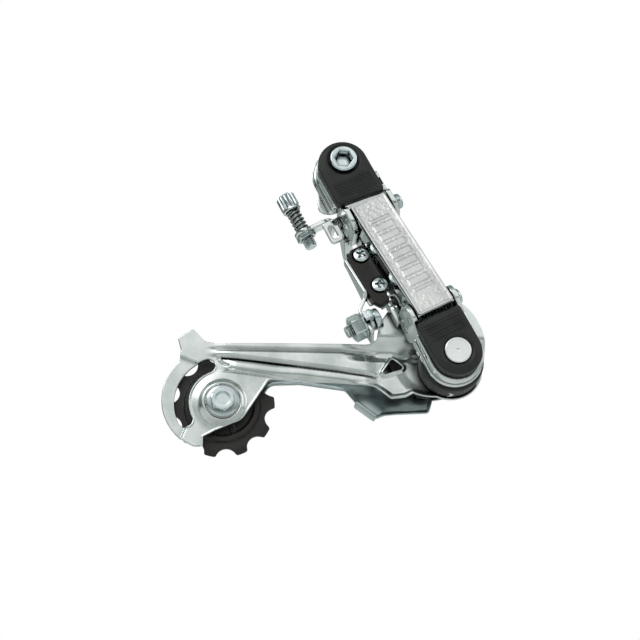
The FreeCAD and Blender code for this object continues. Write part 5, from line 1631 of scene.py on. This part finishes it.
def floor():
    """A pale floor under the object, seen only from above."""
    low = START_BOUNDS[0]
    mesh = bpy.data.meshes.new("floor")
    half = 1.6
    z = low[2] - 0.004
    corners = [(-half, -half, z), (half, -half, z), (half, half, z), (-half, half, z)]
    mesh.from_pydata(corners, [], [(0, 1, 2, 3)])
    piece = bpy.data.objects.new("floor", mesh)
    bpy.context.scene.collection.objects.link(piece)
    material, tree, shader = new_material("floor")
    shader.inputs["Roughness"].default_value = 0.9
    tree.links.new(tint(tree, noise_node(tree, 6), (0.86, 0.86, 0.86), (0.88, 0.88, 0.88)),
                   shader.inputs["Base Color"])
    clear = tree.nodes.new("ShaderNodeBsdfTransparent")
    side = tree.nodes.new("ShaderNodeNewGeometry")
    mix = tree.nodes.new("ShaderNodeMixShader")
    tree.links.new(side.outputs["Backfacing"], mix.inputs["Fac"])
    tree.links.new(shader.outputs[0], mix.inputs[1])
    tree.links.new(clear.outputs[0], mix.inputs[2])
    tree.links.new(mix.outputs[0], tree.nodes["Material Output"].inputs["Surface"])
    mesh.materials.append(material)


def camera():
    data = bpy.data.cameras.new("camera")
    data.lens = 84.375
    data.sensor_width = 36
    data.clip_start = 0.01
    eye = bpy.data.objects.new("camera", data)
    bpy.context.scene.collection.objects.link(eye)
    right = Vector((0.99717, -0.07522, 0))
    up = Vector((-0.02506, -0.33221, 0.94287))
    eye.matrix_world = Matrix.Translation((-0.04845, -0.53612, -0.25095)) @ Matrix(
        (right, up, right.cross(up))).transposed().to_4x4()
    bpy.context.scene.camera = eye


def build():
    made = [outer_cage_plate(), upper_cap(), lower_cap(), outer_link(), link_label(), upper_bracket(),
            lower_bracket(), spring_housing(), drum_mark(), mounting_bolt(), mounting_bush(), cage_axle(),
            limit_screw_block(), tension_bolt(), guide_bolt(), tension_nut(), barrel_adjuster(),
            adjuster_nut(), anchor_bolt(), anchor_nut(), inner_link(), anchor_clamp(),
            cable_stop_bracket(), cable_stop_rivet(), stop_plate(), inner_cage_plate()]
    made.append(pulley("guide_pulley", GUIDE_CENTRE, "guide_pulley_toothed"))
    made.append(pulley("tension_pulley", TENSION_CENTRE, "tension_pulley_toothed"))
    for wheel, centre in (("guide", GUIDE_CENTRE), ("tension", TENSION_CENTRE)):
        made.append(pulley_bush(wheel + "_bush", centre))
        made.append(dust_caps(wheel + "_dust_caps", centre))
    for node, place in (("outer_pin_upper", UPPER_OUTER), ("inner_pin_upper", UPPER_INNER),
                        ("outer_pin_lower", LOWER_OUTER), ("inner_pin_lower", LOWER_INNER)):
        made.append(pivot_pin(node, place))
    made += [limit_screw("limit_screw_high"), limit_screw("limit_screw_low")]
    made += springs()
    bpy.context.scene.view_settings.view_transform = "Standard"
    world_light()
    low, high = START_BOUNDS
    middle = (low + high) / 2
    area_light("key", middle + Vector((-0.5, -0.7, 0.6)), middle, 0.5, 2.2)
    area_light("fill", middle + Vector((0.7, -0.4, 0.3)), middle, 0.6, 1.0)
    area_light("back", middle + Vector((0.2, 0.8, 0.5)), middle, 0.7, 1.6)
    floor()
    camera()


build()
